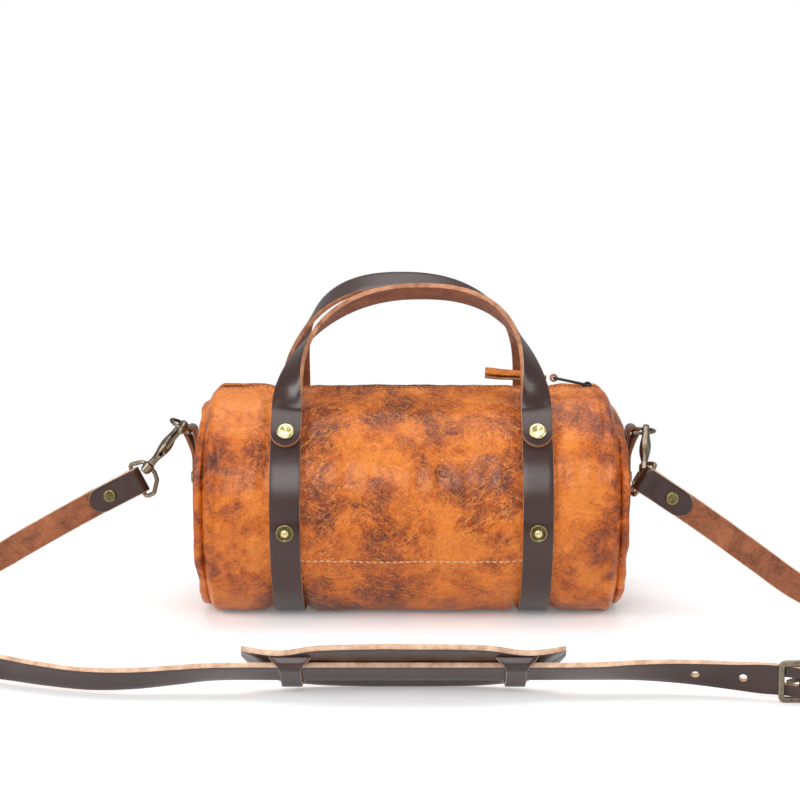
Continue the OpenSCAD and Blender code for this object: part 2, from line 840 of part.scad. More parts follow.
// The snap's body, built along Z: stem, block, shank and a round hook that opens towards +X
module snap_hook() {
    neck_z = collar_half + gap;
    color(old_brass) difference() {
        union() {
            translate([0, 0, -neck_z - head_h]) cylinder(r = head_r, h = head_h);
            translate([0, 0, -neck_z - head_h / 2]) cylinder(r = stem_r, h = 2 * neck_z + 2 * head_h);
            translate([0, 0, neck_z]) cylinder(r = head_r, h = head_h);
            translate([0, snap_depth / 2, 0]) rotate([90, 0, 0]) linear_extrude(snap_depth) polygon([
                [-head_r, neck_z + head_h / 2],
                [head_r, neck_z + head_h / 2],
                [front_share * hook_out_r, body_shares[0] * snap_len],
                [front_share * hook_out_r, body_shares[1] * snap_len],
                [-throat_r, snap_len - throat_r],
                [-throat_r, snap_len],
                [-hook_out_r, snap_len],
                [-hook_out_r, body_shares[2] * snap_len]
            ]);
            translate([0, snap_depth / 2, snap_len]) rotate([90, 0, 0]) difference() {
                cylinder(r = hook_out_r, h = snap_depth);
                translate([0, 0, -over]) cylinder(r = throat_r, h = snap_depth + 2 * over);
                translate([-throat_r, -2 * hook_out_r, -over])
                    cube([2 * hook_out_r, 2 * hook_out_r, snap_depth + 2 * over]);
            }
        }
        translate([slot_from_x, -slot_y / 2, slot_share * snap_len])
            cube([2 * hook_out_r, slot_y, (1 - slot_share) * snap_len]);
        translate([pin_x, snap_depth, pin_z]) rotate([90, 0, 0]) cylinder(r = pin_r, h = 2 * snap_depth);
    }
}

// The sprung lever that closes the throat, with a tip to push it open
module snap_trigger() {
    lever = slot_y - 2 * lay;
    color(old_brass) difference() {
        translate([0, lever / 2, 0]) rotate([90, 0, 0]) linear_extrude(lever) polygon([
            for (c = lever_foot) [pin_x, pin_z] + c,
            for (c = lever_tip) [hook_out_r, pin_z] + c,
            for (c = lever_head) [throat_r, snap_len] + c,
            [pin_x, pin_z] + lever_back
        ]);
        translate([pin_x, snap_depth, pin_z]) rotate([90, 0, 0])
            cylinder(r = pin_r + run_gap, h = 2 * snap_depth);
    }
}

module snap_pin() {
    translate([pin_x, snap_depth / 2, pin_z]) rotate([90, 0, 0]) cylinder(r = pin_r, h = snap_depth);
}

module snap_hook_left() {
    left_snap_frame() snap_hook();
}

module snap_hook_right() {
    right_snap_frame() snap_hook();
}

module snap_trigger_left() {
    left_snap_frame() snap_trigger();
}

module snap_trigger_right() {
    right_snap_frame() snap_trigger();
}

module snap_pin_left() {
    color(old_brass) left_snap_frame() snap_pin();
}

module snap_pin_right() {
    color(old_brass) right_snap_frame() snap_pin();
}

// Shoulder strap

chape_in_r = eye_wire_r + run_gap;
chape_out_r = chape_in_r + sling_th;
chape_len = 30;
return_len = 36;
rivet_reach = 21;
// How far from the bar's middle the two leaves of a fold come together
leaf_meet = 12.5;

// Fold of the strap round a bar, seen along the bar: the strap leaves towards -X,
// its main leaf on the +Y side and its return leaf on the -Y side
module chape_shape(length, back, in_r) {
    out_r = in_r + sling_th;
    linear_extrude(sling_w, center = true) difference() {
        union() {
            circle(r = out_r);
            polygon([
                [0, out_r], [-leaf_meet, sling_th], [-length, sling_th],
                [-length, 0], [-back, 0], [-back, -sling_th], [-leaf_meet, -sling_th], [0, -out_r]
            ]);
        }
        circle(r = in_r);
    }
}

// Frame of a chape: the bar's middle is the origin, Z runs along the bar and X back to the bag
module at_chape_left() {
    translate(eye_left) rotate([0, -left_slope, 0]) children();
}

module at_chape_right() {
    translate(eye_right) rotate([0, right_slope, 0]) mirror([1, 0, 0]) children();
}

module chape() {
    color(dark_leather) difference() {
        chape_shape(chape_len, return_len, chape_in_r);
        translate([-rivet_reach, 0, 0]) rotate([90, 0, 0]) translate([0, 0, -2 * chape_out_r])
            cylinder(r = bore_r, h = 4 * chape_out_r);
    }
}

module chape_left() {
    at_chape_left() chape();
}

module chape_right() {
    at_chape_right() chape();
}

module chape_rivet() {
    translate([-rivet_reach, 0, 0]) rotate([90, 0, 0]) {
        translate([0, 0, sling_th + lay]) cap(small_cap_r, cap_h);
        translate([0, 0, -sling_th - lay]) cylinder(r = shank_r, h = 2 * (sling_th + lay) + cap_h / 2);
        translate([0, 0, -sling_th - lay]) mirror([0, 0, 1]) cylinder(r = small_cap_r, h = back_h);
    }
}

module chape_rivets() {
    color(old_brass) {
        at_chape_left() chape_rivet();
        at_chape_right() chape_rivet();
    }
}

// Buckle's place: middle of its front bar's strap, its heading and its lean
buckle_at = [207.4, -235.5, 12.8];
buckle_heading = -15;
buckle_lean = 8;
// Pad's place: its middle on the strap and its lean
pad_at = [-4.5, -226, 14.7];
pad_lean = 50;

function turned(heading, lean) = [
    [cos(heading), sin(heading), 0],
    [sin(lean) * sin(heading), -sin(lean) * cos(heading), cos(lean)],
    [cos(lean) * sin(heading), -cos(lean) * cos(heading), -sin(lean)]
];
buckle_axes = turned(buckle_heading, buckle_lean);
function by_buckle(along, out) = buckle_at + along * buckle_axes[0] + out * buckle_axes[2];

// The routes were laid for a body of this half length and radius. For another one, what lies
// behind the turn moves out and up with the rings.
laid_half = 135;
laid_r = 76;
turn_from_y = -200;
turn_to_y = -110;
lying_z = 9.3;
laid_rise = 64;
function turned_by(y) = min(max((y - turn_from_y) / (turn_to_y - turn_from_y), 0), 1);
function laid(p) = let (share = turned_by(p[1])) [
    p[0] + share * sign(p[0]) * (half_len - laid_half),
    p[1],
    p[2] + share * (p[2] - lying_z) / laid_rise * (body_r - laid_r),
    p[3]
];

// Middle of the long strap from the left snap round to the tip past the buckle;
// the fourth number is how far the strap's upper edge leans outwards
leaf_y = sling_th / 2 + lay;
long_start = eye_left + (chape_len + gap) * [-cos(left_slope), 0, -sin(left_slope)] + [0, leaf_y, 0];
long_points = [
    [-240, -9.2, 59.6, 0], [-265, -9.2, 45.4, 0], [-282, -9.5, 35.5, 0], [-300, -11, 26, 0],
    [-320, -17, 17.6, 0], [-340, -28, 12, 0], [-357, -44, 9.8, 0], [-368, -64, 9.3, 0], [-371, -88, 9.3, 0], [-367, -116, 9.3, 0],
    [-355, -142, 9.4, 4], [-335, -164, 9.5, 9], [-308, -180, 9.9, 15], [-276, -190, 10.4, 22],
    [-242, -200, 10.6, 28], [-212, -213, 9.8, 34], [-184, -222, 9.4, 38], [-158, -226, 10.6, 42],
    [-134, -226, 12.6, 46], [-114, -226, 14.4, 50], [-60, -226, 14.7, 50], [-4, -226, 14.7, 50],
    [50, -226, 14.7, 50], [104, -226, 14.9, 50], [126, -225, 15.2, 45], [146, -225, 14.8, 38],
    [166, -226.5, 13.9, 30], [184, -229.3, 13, 20]
];
// Where the strap passes over the buckle and down behind it: along the strap, and out of its grain side
buckle_pass = [
    [-10, 0], [2, 0.1], [8, 1.2], [15, 3.6], [22, 5.4], [29, 4.6], [38, 3.4], [54, 3.4], [74, 3.4]
];
long_route = concat(
    [[long_start[0], long_start[1], long_start[2], 0]],
    [for (p = long_points) laid(p)],
    [for (p = buckle_pass) let (q = by_buckle(p[0], p[1])) [q[0], q[1], q[2], buckle_lean]]
);

// Middle of the short strap from under the keeper round to the right snap
short_from = 40;
// Length over which it lies flat against the long strap's tip
short_straight = 28.8;
short_end = eye_right + (chape_len + gap) * [cos(right_slope), 0, -sin(right_slope)] + [0, leaf_y, 0];
short_first = by_buckle(short_from + lay, lay);
short_second = by_buckle(short_from + short_straight, lay);
short_points = [
    [292, -257.5, 12, 6], [322, -259, 11, 4], [352, -253, 10, 2], [379, -239, 9.4, 0],
    [401, -217, 9.3, 0], [415, -189, 9.3, 0], [420, -158, 9.3, 0], [415, -127, 9.3, 0],
    [401, -99, 9.3, 0], [379, -78, 9.3, 0], [352, -64, 9.4, 0], [325, -55, 9.8, 0],
    [300, -50, 10.8, 0], [279, -48.6, 13.4, 0], [258, -47.7, 22.4, 0], [229, -47.7, 42.8, 0],
    [200, -47.6, 63.9, 0]
];
short_route = concat(
    [for (q = [short_first, short_second]) [q[0], q[1], q[2], buckle_lean]],
    [for (p = short_points) laid(p)],
    [[short_end[0], short_end[1], short_end[2], 0]]
);

function spot(p) = [p[0], p[1], p[2]];

// Frames along a route: middle, direction across the strap, and out of its grain side
function strap_frames(route) = let (n = len(route)) [for (i = [0 : n - 1])
    let (
        t = unit(spot(route[min(i + 1, n - 1)]) - spot(route[max(i - 1, 0)])),
        up = unit([0, 0, 1] - t[2] * t),
        out = cross(t, up),
        w = cos(route[i][3]) * up + sin(route[i][3]) * out
    )
    [spot(route[i]), w, cross(t, w)]];

module strap_along(route) {
    frames = strap_frames(route);
    ribbon(frames, [for (f = frames) [-sling_w / 2, sling_w / 2, -sling_th / 2, sling_th / 2]]);
}

module at_buckle() {
    translate(buckle_at) rotate([90 + buckle_lean, 0, buckle_heading]) children();
}

prong_from = [buckle_len, -sling_th / 2];
prong_knee = [8.4, -1.5];
prong_tip = [3.8, 3];
prong_slot = [3, 8.4];
prong_slot_r = prong_r + gap + lay;

module long_strap() {
    color(dark_leather) difference() {
        strap_along(long_route);
        at_buckle() {
            for (i = [1, 2]) translate([prong_slot[0] - i * hole_pitch, 0, -sling_w / 2])
                cylinder(r = hole_r, h = sling_w);
            for (i = [1, 2]) translate([prong_slot[0] + i * hole_pitch, 0, -sling_w / 2])
                cylinder(r = hole_r, h = sling_w);
            for (x = prong_slot) translate([x, 0, -sling_w / 2])
                cylinder(r = prong_slot_r, h = sling_w);
            translate([prong_slot[0], -prong_slot_r, -sling_w / 2])
                cube([prong_slot[1] - prong_slot[0], 2 * prong_slot_r, sling_w]);
        }
    }
}

module short_strap() {
    color(dark_leather) difference() {
        strap_along(short_route);
        at_buckle() translate([buckle_rivet_spots[1], 0, -sling_w / 2]) cylinder(r = bore_r, h = sling_w);
    }
}

// Buckle, in its own frame: X along the strap, Y across it, Z out of its grain side

heel = prong_from;
front_bar = [0, sling_th / 2 + gap + buckle_r];
frame_half = sling_w / 2 + buckle_r + gap;

module rod(a, b, r) {
    d = b - a;
    translate(a) rotate([0, acos(d[2] / norm(d)), atan2(d[1], d[0])]) cylinder(r = r, h = norm(d));
}

module buckle_frame() {
    corners = [
        [front_bar[0], -frame_half, front_bar[1]], [heel[0], -frame_half, heel[1]],
        [heel[0], frame_half, heel[1]], [front_bar[0], frame_half, front_bar[1]]
    ];
    color(old_brass) at_buckle() for (i = [0 : 3]) {
        translate(corners[i]) sphere(r = buckle_r);
        rod(corners[i], corners[(i + 1) % 4], buckle_r);
    }
}

module buckle_prong() {
    loop_r = buckle_r + run_gap;
    color(old_brass) at_buckle() {
        translate([heel[0], prong_r, heel[1]]) rotate([90, 0, 0]) difference() {
            cylinder(r = loop_r + prong_r, h = 2 * prong_r);
            translate([0, 0, -over]) cylinder(r = loop_r, h = 2 * prong_r + 2 * over);
        }
        translate([0, prong_r, 0]) rotate([90, 0, 0]) linear_extrude(2 * prong_r) polygon([
            [heel[0] - loop_r - prong_r / 2, heel[1] - prong_r],
            [prong_knee[0] - prong_r / 2, prong_knee[1] - prong_r],
            [prong_tip[0] - prong_r, prong_tip[1]],
            [prong_tip[0], prong_tip[1] + prong_r],
            [prong_knee[0] + prong_r / 2, prong_knee[1] + prong_r],
            [heel[0] - loop_r - prong_r / 2, heel[1] + prong_r]
        ]);
    }
}

buckle_return = 66;
buckle_rivet_spots = [38, 58];
// Underside of the fold's lower leaf
leaf_under = -sling_th / 2 - sling_th;
keeper_from = 44;
keeper_len = 8;
keeper_th = 1.8;
// How far behind the heel bar the fold is notched for the prong
leaf_gap = 4.8;

module buckle_chape() {
    color(dark_leather) at_buckle() difference() {
        translate([heel[0], 0, -sling_th / 2]) mirror([1, 0, 0]) rotate([90, 0, 0]) mirror([0, 0, 1])
            chape_shape(short_from - heel[0], buckle_return - heel[0], buckle_r + run_gap);
        translate([heel[0] - sling_w / 2, -prong_r - gap, -sling_w / 2])
            cube([sling_w / 2 + leaf_gap, 2 * prong_r + 2 * gap, sling_w]);
        for (x = buckle_rivet_spots) translate([x, 0, -sling_w / 2]) cylinder(r = bore_r, h = sling_w);
    }
}

module buckle_rivets() {
    under = leaf_under;
    color(old_brass) at_buckle() for (x = buckle_rivet_spots) {
        translate([x, 0, under - lay]) mirror([0, 0, 1]) cap(small_cap_r, cap_h);
        translate([x, 0, under - 2 * lay]) cylinder(r = shank_r, h = 2 * (sling_th + lay));
    }
}

module keeper() {
    low = leaf_under - gap;
    high = sling_th / 2 + sling_th + 2 * gap + lay;
    half = sling_w / 2 + gap;
    color(dark_leather) at_buckle() difference() {
        translate([keeper_from, -half - keeper_th, low - keeper_th])
            cube([keeper_len, 2 * (half + keeper_th), high - low + 2 * keeper_th]);
        translate([keeper_from - over, -half, low]) cube([keeper_len + 2 * over, 2 * half, high - low]);
    }
}

// Shoulder pad, in the strap's frame: X along the strap, Y across it, Z out of its grain side

pad_stations = 24;
bridge_at = 63.5;
bridge_len = 10;
bridge_wall = 2.7;
curl = 9;
// Clearances of the strap in front of the pad and at its edges under a bridge
pad_gap = 0.4;
tunnel_gap = 0.8;
pad_back = -sling_th / 2 - pad_gap - pad_th;
tunnel_half = sling_w / 2 + tunnel_gap;
bridge_low = sling_th / 2 + 2 * gap;
tip_share = 0.12;
flat_share = 0.72;
taper_powers = [3.4, 0.8];

function taper(s) = pow(max(1 - pow(abs(s), taper_powers[0]), 0), taper_powers[1]);
function pad_half(s) = pad_w / 2 * (tip_share + (1 - tip_share) * taper(s));
function pad_curl(s) = let (free = max(abs(s) - flat_share, 0) / (1 - flat_share)) curl * free * free;

module shoulder_pad() {
    shares = [for (i = [0 : pad_stations]) 2 * i / pad_stations - 1];
    frames = [for (s = shares) [[s * pad_len / 2, 0, -pad_curl(s)], [0, 1, 0], [0, 0, 1]]];
    sections = [for (s = shares) [-pad_half(s), pad_half(s), pad_back, pad_back + pad_th]];
    color(dark_leather) translate(pad_at) rotate([90 + pad_lean, 0, 0]) difference() {
        union() {
            ribbon(frames, sections);
            for (x = [-bridge_at, bridge_at])
                translate([x - bridge_len / 2, -tunnel_half - bridge_wall, pad_back + pad_th / 2])
                    cube([bridge_len, 2 * (tunnel_half + bridge_wall), bridge_low + pad_th / 2 - pad_back]);
        }
        for (x = [-bridge_at, bridge_at])
            translate([x - bridge_len / 2 - gap, -tunnel_half, pad_back - over])
                cube([bridge_len + 2 * gap, 2 * tunnel_half, bridge_low - pad_back + over]);
    }
}

body_panel();
end_panel_left();
end_panel_right();
inner_pocket();
zipper_tape_front();
zipper_tape_rear();
zipper_teeth_front();
zipper_teeth_rear();
zipper_stops();
zipper_slider();
zipper_pull();
zipper_lace();
body_strap_left();
body_strap_right();
handle_ends_front();
handle_ends_rear();
handle_front();
handle_rear();
handle_rivets();
handle_rivet_backs();
strap_rivets();
strap_rivet_burrs();
tab_left();
tab_right();
tab_rivets();
tab_rivet_backs();
ring_left();
ring_right();
snap_hook_left();
snap_hook_right();
snap_trigger_left();
snap_trigger_right();
snap_pin_left();
snap_pin_right();
snap_eye_left();
snap_eye_right();
chape_left();
chape_right();
chape_rivets();
long_strap();
short_strap();
shoulder_pad();
buckle_frame();
buckle_prong();
buckle_chape();
buckle_rivets();
keeper();
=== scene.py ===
import json
from math import atan2, cos, degrees, exp, log, pi, radians, sin, sqrt

import bmesh
import bpy
from mathutils import Matrix, Vector
from mathutils.noise import noise


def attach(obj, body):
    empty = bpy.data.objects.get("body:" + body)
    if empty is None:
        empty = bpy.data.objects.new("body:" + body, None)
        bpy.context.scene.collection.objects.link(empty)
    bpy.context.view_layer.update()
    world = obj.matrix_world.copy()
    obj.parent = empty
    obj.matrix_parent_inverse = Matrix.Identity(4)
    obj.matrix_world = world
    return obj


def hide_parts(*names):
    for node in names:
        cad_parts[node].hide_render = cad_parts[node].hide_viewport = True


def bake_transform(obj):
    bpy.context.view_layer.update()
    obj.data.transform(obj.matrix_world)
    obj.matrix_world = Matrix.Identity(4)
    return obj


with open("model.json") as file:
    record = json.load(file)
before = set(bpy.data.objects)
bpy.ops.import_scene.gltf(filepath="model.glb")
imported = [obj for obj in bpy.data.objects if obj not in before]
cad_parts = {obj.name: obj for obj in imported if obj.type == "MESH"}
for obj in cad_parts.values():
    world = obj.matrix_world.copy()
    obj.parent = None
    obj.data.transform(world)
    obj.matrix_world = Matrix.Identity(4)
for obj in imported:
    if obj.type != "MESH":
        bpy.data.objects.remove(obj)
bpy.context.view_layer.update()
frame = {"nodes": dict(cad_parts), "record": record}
cad = frame["nodes"]
MM = 0.001


# Camera: a little above the bag's shoulder, tipped down at it, as a product photographer stands.
# The lens and the place were worked out from where the bag's corners fall in the picture.
SENSOR = 36.0
FOCAL_PIXELS = 1743.0
PICTURE_PIXELS = 800.0
camera = bpy.data.objects.new("camera", bpy.data.cameras.new("camera"))
bpy.context.scene.collection.objects.link(camera)
camera.data.sensor_width = SENSOR
camera.data.lens = SENSOR * FOCAL_PIXELS / PICTURE_PIXELS
camera.data.shift_x = -0.0144
camera.data.clip_start = 0.05
camera.data.clip_end = 60.0
camera.location = (0.0, -1.1864, 0.2838)
camera.rotation_euler = (radians(90.0 - 6.8), 0.0, 0.0)
bpy.context.scene.camera = camera


# Sweep of white paper, lit by a wide soft box on the left, a paler one on the right, a window in
# front and an overhead sheet. To the eye the paper glows a little, but not in the contact shadow
# under the bag, and some 0.6 m away it burns out to plain white.
def linear(code):
    """A colour written as sRGB hex, turned to the linear values that shaders take."""
    parts = [int(code[i : i + 2], 16) / 255.0 for i in (1, 3, 5)]
    return tuple(p / 12.92 if p <= 0.04045 else ((p + 0.055) / 1.055) ** 2.4 for p in parts) + (1.0,)


def add(tree, kind, inputs=None, **settings):
    """Adds one node: its settings by name, then each input from a value or from another's socket."""
    node = tree.nodes.new(kind)
    for name, value in settings.items():
        setattr(node, name, value)
    for name, value in (inputs or {}).items():
        if isinstance(value, bpy.types.NodeSocket):
            tree.links.new(value, node.inputs[name])
        else:
            node.inputs[name].default_value = value
    return node


def finish_named(name):
    """An empty material, its node tree and the place on the object, which every pattern is drawn at."""
    made = bpy.data.materials.new(name)
    made.use_nodes = True
    made.node_tree.nodes.clear()
    return made, made.node_tree, add(made.node_tree, "ShaderNodeTexCoord").outputs["Object"]


def set_stops(node, *stops):
    """Gives a colour ramp its stops of (place, colour), the two ends first."""
    ends = list(node.color_ramp.elements)
    for i, (spot, code) in enumerate(stops):
        stop = ends[i] if i < 2 else node.color_ramp.elements.new(spot)
        stop.position = spot
        stop.color = linear(code)


def mesh_piece(name, points, faces, finishes, picks=None, smooth=True):
    """A mesh from points in millimetres, faces outward, with materials and each face's pick of them."""
    mesh = bpy.data.meshes.new(name)
    mesh.from_pydata([tuple(c * MM for c in p) for p in points], [], faces)
    for finish in finishes:
        mesh.materials.append(finish)
    if picks:
        mesh.polygons.foreach_set("material_index", picks)
    mesh.polygons.foreach_set("use_smooth", [smooth] * len(mesh.polygons))
    solid = bmesh.new()
    solid.from_mesh(mesh)
    if solid.calc_volume(signed=True) < 0:
        mesh.flip_normals()
    solid.free()
    mesh.update()
    made = bpy.data.objects.new(name, mesh)
    bpy.context.scene.collection.objects.link(made)
    return made


paper, tree, at = finish_named("white_paper_sweep")
flat = add(tree, "ShaderNodeVectorMath", {0: at, 1: (0.0, 0.12, 0.0)}, operation="ADD")
away = add(tree, "ShaderNodeVectorMath", {0: flat.outputs[0]}, operation="LENGTH")
fade = add(tree, "ShaderNodeMapRange", {"Value": away.outputs["Value"], "From Min": 0.3, "From Max": 0.62},
           interpolation_type="SMOOTHSTEP")
path_kind = add(tree, "ShaderNodeLightPath")
seen = add(tree, "ShaderNodeMath", {0: path_kind.outputs["Is Camera Ray"], 1: path_kind.outputs["Is Glossy Ray"]},
           operation="ADD", use_clamp=True)
matt = add(tree, "ShaderNodeBsdfDiffuse", {"Color": linear("#EDEDEE")})
under = add(tree, "ShaderNodeVectorMath", {0: at, 1: (6.9, 22.0, 0.0)}, operation="MULTIPLY")
under = add(tree, "ShaderNodeVectorMath", {0: under.outputs[0]}, operation="LENGTH")
clear = add(tree, "ShaderNodeMapRange", {"Value": under.outputs["Value"], "From Min": 0.8, "From Max": 1.35,
                                         "To Min": 0.13, "To Max": 0.26}, interpolation_type="SMOOTHSTEP")
glow = add(tree, "ShaderNodeEmission", {"Color": (1.0, 1.0, 1.0, 1.0), "Strength": clear.outputs[0]})
white = add(tree, "ShaderNodeEmission", {"Color": (1.0, 1.0, 1.0, 1.0), "Strength": 1.0})
lift = add(tree, "ShaderNodeAddShader", {0: matt.outputs[0], 1: glow.outputs[0]})
burnt = add(tree, "ShaderNodeMixShader", {0: fade.outputs[0], 1: lift.outputs[0], 2: white.outputs[0]})
both = add(tree, "ShaderNodeMixShader", {0: seen.outputs[0], 1: matt.outputs[0], 2: burnt.outputs[0]})
add(tree, "ShaderNodeOutputMaterial", {"Surface": both.outputs[0]})
floor = mesh_piece("floor", [(-6000, -6000, 0), (6000, -6000, 0), (6000, 6000, 0), (-6000, 6000, 0)],
                   [(0, 1, 2, 3)], [paper], smooth=False)

world = bpy.data.worlds.new("studio")
bpy.context.scene.world = world
world.use_nodes = True
tree = world.node_tree
tree.nodes.clear()
path_kind = add(tree, "ShaderNodeLightPath")
seen = add(tree, "ShaderNodeMath", {0: path_kind.outputs["Is Camera Ray"], 1: path_kind.outputs["Is Transmission Ray"]},
           operation="ADD", use_clamp=True)
room = add(tree, "ShaderNodeBackground", {"Color": (1.0, 1.0, 1.0, 1.0), "Strength": 0.4})
white = add(tree, "ShaderNodeBackground", {"Color": (1.0, 1.0, 1.0, 1.0), "Strength": 1.0})
both = add(tree, "ShaderNodeMixShader", {0: seen.outputs[0], 1: room.outputs[0], 2: white.outputs[0]})
add(tree, "ShaderNodeOutputWorld", {"Surface": both.outputs[0]})

for name, place, aim, size, watts in (
    ("left_soft_box", (-1.4, -1.0, 0.9), (0.0, 0.0, 0.08), 0.8, 12.5),
    ("right_soft_box", (1.5, -0.8, 0.8), (0.0, 0.0, 0.08), 0.7, 6.0),
    ("front_window", (-0.15, -1.85, 1.0), (0.0, 0.0, 0.09), 0.9, 12.5),
    ("overhead_sheet", (0.0, 0.1, 1.4), (0.0, 0.0, 0.05), 1.2, 10.5),
):
    lamp = bpy.data.objects.new(name, bpy.data.lights.new(name, "AREA"))
    lamp.data.shape = "SQUARE"
    lamp.data.size = size
    lamp.data.energy = watts
    lamp.location = place
    lamp.rotation_euler = (Vector(aim) - Vector(place)).to_track_quat("-Z", "Y").to_euler()
    bpy.context.scene.collection.objects.link(lamp)
bpy.context.scene.view_settings.view_transform = "Standard"


# Shoulder strap: two lengths of 18 mm bridle leather, 3.2 mm thick, dark and waxed on the grain
# side, bare on the flesh side, with natural cut edges. Both lie free on the floor, so they are
# cords. The long one carries the pad and has punched holes, the short one holds the buckle.
STRAP_WIDE = 18.0
STRAP_THICK = 3.2
HOLE_PITCH = 25.4
PRONG_HOLE = 3.0

bridle, tree, at = finish_named("waxed_bridle_leather")
# Vegetable-tanned hide filled with wax: near-black brown with fine pores of 0.7 mm, hardly any
# pattern, slow cloudy changes of gloss and a few pale hair scratches.
cloud = add(tree, "ShaderNodeTexNoise", {"Vector": at, "Scale": 45.0, "Detail": 4.0, "Roughness": 0.6})
pores = add(tree, "ShaderNodeTexVoronoi", {"Vector": at, "Scale": 1400.0}, feature="F1")
hair = add(tree, "ShaderNodeTexNoise", {"Vector": at, "Scale": 700.0, "Detail": 3.0})
long_at = add(tree, "ShaderNodeMapping", {"Vector": at, "Rotation": (0.5, 0.2, 0.9), "Scale": (20.0, 420.0, 420.0)})
rubs = add(tree, "ShaderNodeTexNoise", {"Vector": long_at.outputs[0], "Scale": 1.0, "Detail": 4.0})
rub_share = add(tree, "ShaderNodeMapRange", {"Value": rubs.outputs["Fac"], "From Min": 0.62, "From Max": 0.8,
                                             "To Min": 0.0, "To Max": 0.3})
tone = add(tree, "ShaderNodeMix", {"Factor": cloud.outputs["Fac"], 6: linear("#200F0D"), 7: linear("#41231B")},
           data_type="RGBA")
tone = add(tree, "ShaderNodeMix", {"Factor": rub_share.outputs[0], 6: tone.outputs[2], 7: linear("#70554C")},
           data_type="RGBA")
gloss = add(tree, "ShaderNodeMapRange", {"Value": cloud.outputs["Fac"], "From Min": 0.3, "From Max": 0.7,
                                         "To Min": 0.3, "To Max": 0.42})
grain = add(tree, "ShaderNodeMath", {0: pores.outputs["Distance"], 1: hair.outputs["Fac"]}, operation="ADD")
bump = add(tree, "ShaderNodeBump", {"Strength": 0.22, "Distance": 0.0003, "Height": grain.outputs[0]})
skin = add(tree, "ShaderNodeBsdfPrincipled", {"Base Color": tone.outputs[2], "Roughness": gloss.outputs[0],
                                              "Normal": bump.outputs[0], "Specular IOR Level": 0.3,
                                              "Coat Weight": 0.6, "Coat Roughness": 0.22})
add(tree, "ShaderNodeOutputMaterial", {"Surface": skin.outputs[0]})


def cut_through(name, dark, pale):
    """Raw leather where the hide was cut: the dye stops short of the middle, so fibres show through."""
    made, tree, at = finish_named(name)
    cloud = add(tree, "ShaderNodeTexNoise", {"Vector": at, "Scale": 120.0, "Detail": 6.0, "Roughness": 0.7})
    fibre = add(tree, "ShaderNodeTexNoise", {"Vector": at, "Scale": 1500.0, "Detail": 2.0})
    tone = add(tree, "ShaderNodeValToRGB", {"Fac": cloud.outputs["Fac"]})
    set_stops(tone, (0.3, dark), (0.62, pale))
    bump = add(tree, "ShaderNodeBump", {"Strength": 0.35, "Distance": 0.0003, "Height": fibre.outputs["Fac"]})
    skin = add(tree, "ShaderNodeBsdfPrincipled", {"Base Color": tone.outputs["Color"], "Roughness": 0.72,
                                                  "Normal": bump.outputs[0]})
    add(tree, "ShaderNodeOutputMaterial", {"Surface": skin.outputs[0]})
    return made


# Edge of the shoulder strap and its pad: almost white natural tan, in spells some 8 mm long.
cut_edge = cut_through("pale_cut_edge", "#B38465", "#E3C1A4")
# Edge of the handles and belts: burnished a shade browner by hands.
rubbed_edge = cut_through("burnished_cut_edge", "#824C30", "#C68D68")

flesh, tree, at = finish_named("flesh_side_leather")
# The underside of the hide: loose short fibres, reddish brown, matt, with darker rubbed streaks.
cloud = add(tree, "ShaderNodeTexNoise", {"Vector": at, "Scale": 70.0, "Detail": 8.0, "Roughness": 0.74,
                                         "Distortion": 0.5})
fibre = add(tree, "ShaderNodeTexNoise", {"Vector": at, "Scale": 900.0, "Detail": 5.0, "Roughness": 0.7})
speck = add(tree, "ShaderNodeMath", {0: fibre.outputs["Fac"], 1: 0.35}, operation="MULTIPLY")
speck = add(tree, "ShaderNodeMath", {0: cloud.outputs["Fac"], 1: 0.65, 2: speck.outputs[0]}, operation="MULTIPLY_ADD")
tone = add(tree, "ShaderNodeValToRGB", {"Fac": speck.outputs[0]})
set_stops(tone, (0.36, "#60301D"), (0.64, "#B06A43"))
bump = add(tree, "ShaderNodeBump", {"Strength": 0.5, "Distance": 0.0005, "Height": fibre.outputs["Fac"]})
skin = add(tree, "ShaderNodeBsdfPrincipled", {"Base Color": tone.outputs["Color"], "Roughness": 0.84,
                                              "Normal": bump.outputs[0], "Sheen Weight": 0.15})
add(tree, "ShaderNodeOutputMaterial", {"Surface": skin.outputs[0]})


def strap_ring(half, thick, corner):
    """Section of a strap as (across, outward) points, and what shows after each: 0 grain, 1 edge, 2 flesh."""
    corner = min(corner, 0.45 * thick, 0.9 * half)
    flat, rise = half - corner, 0.5 * thick - corner
    steps = [i / 3.0 - 1 for i in range(7)]

    def rounded(x, z, first):
        """One rounded corner of the section, from the angle first on."""
        return [(x + corner * cos(radians(k)), z + corner * sin(radians(k)), 1) for k in (first + 30, first + 60)]

    ring = [(-flat * step, 0.5 * thick, 0) for step in steps] + rounded(-flat, rise, 90)
    ring += [(-half, rise, 1), (-half, -rise, 1)] + rounded(-flat, -rise, 180)
    ring += [(flat * step, -0.5 * thick, 2 if step < 1 else 1) for step in steps] + rounded(flat, -rise, 270)
    ring += [(half, -rise, 1), (half, rise, 1)] + rounded(flat, rise, 0)
    ring[-1] = (*ring[-1][:2], 0)  # the last point leads back to the grain side
    return ring


def band(a, b, count):
    """Quads between two closed rings of points, which start at a and at b."""
    return [(a + j, a + (j + 1) % count, b + (j + 1) % count, b + j) for j in range(count)]


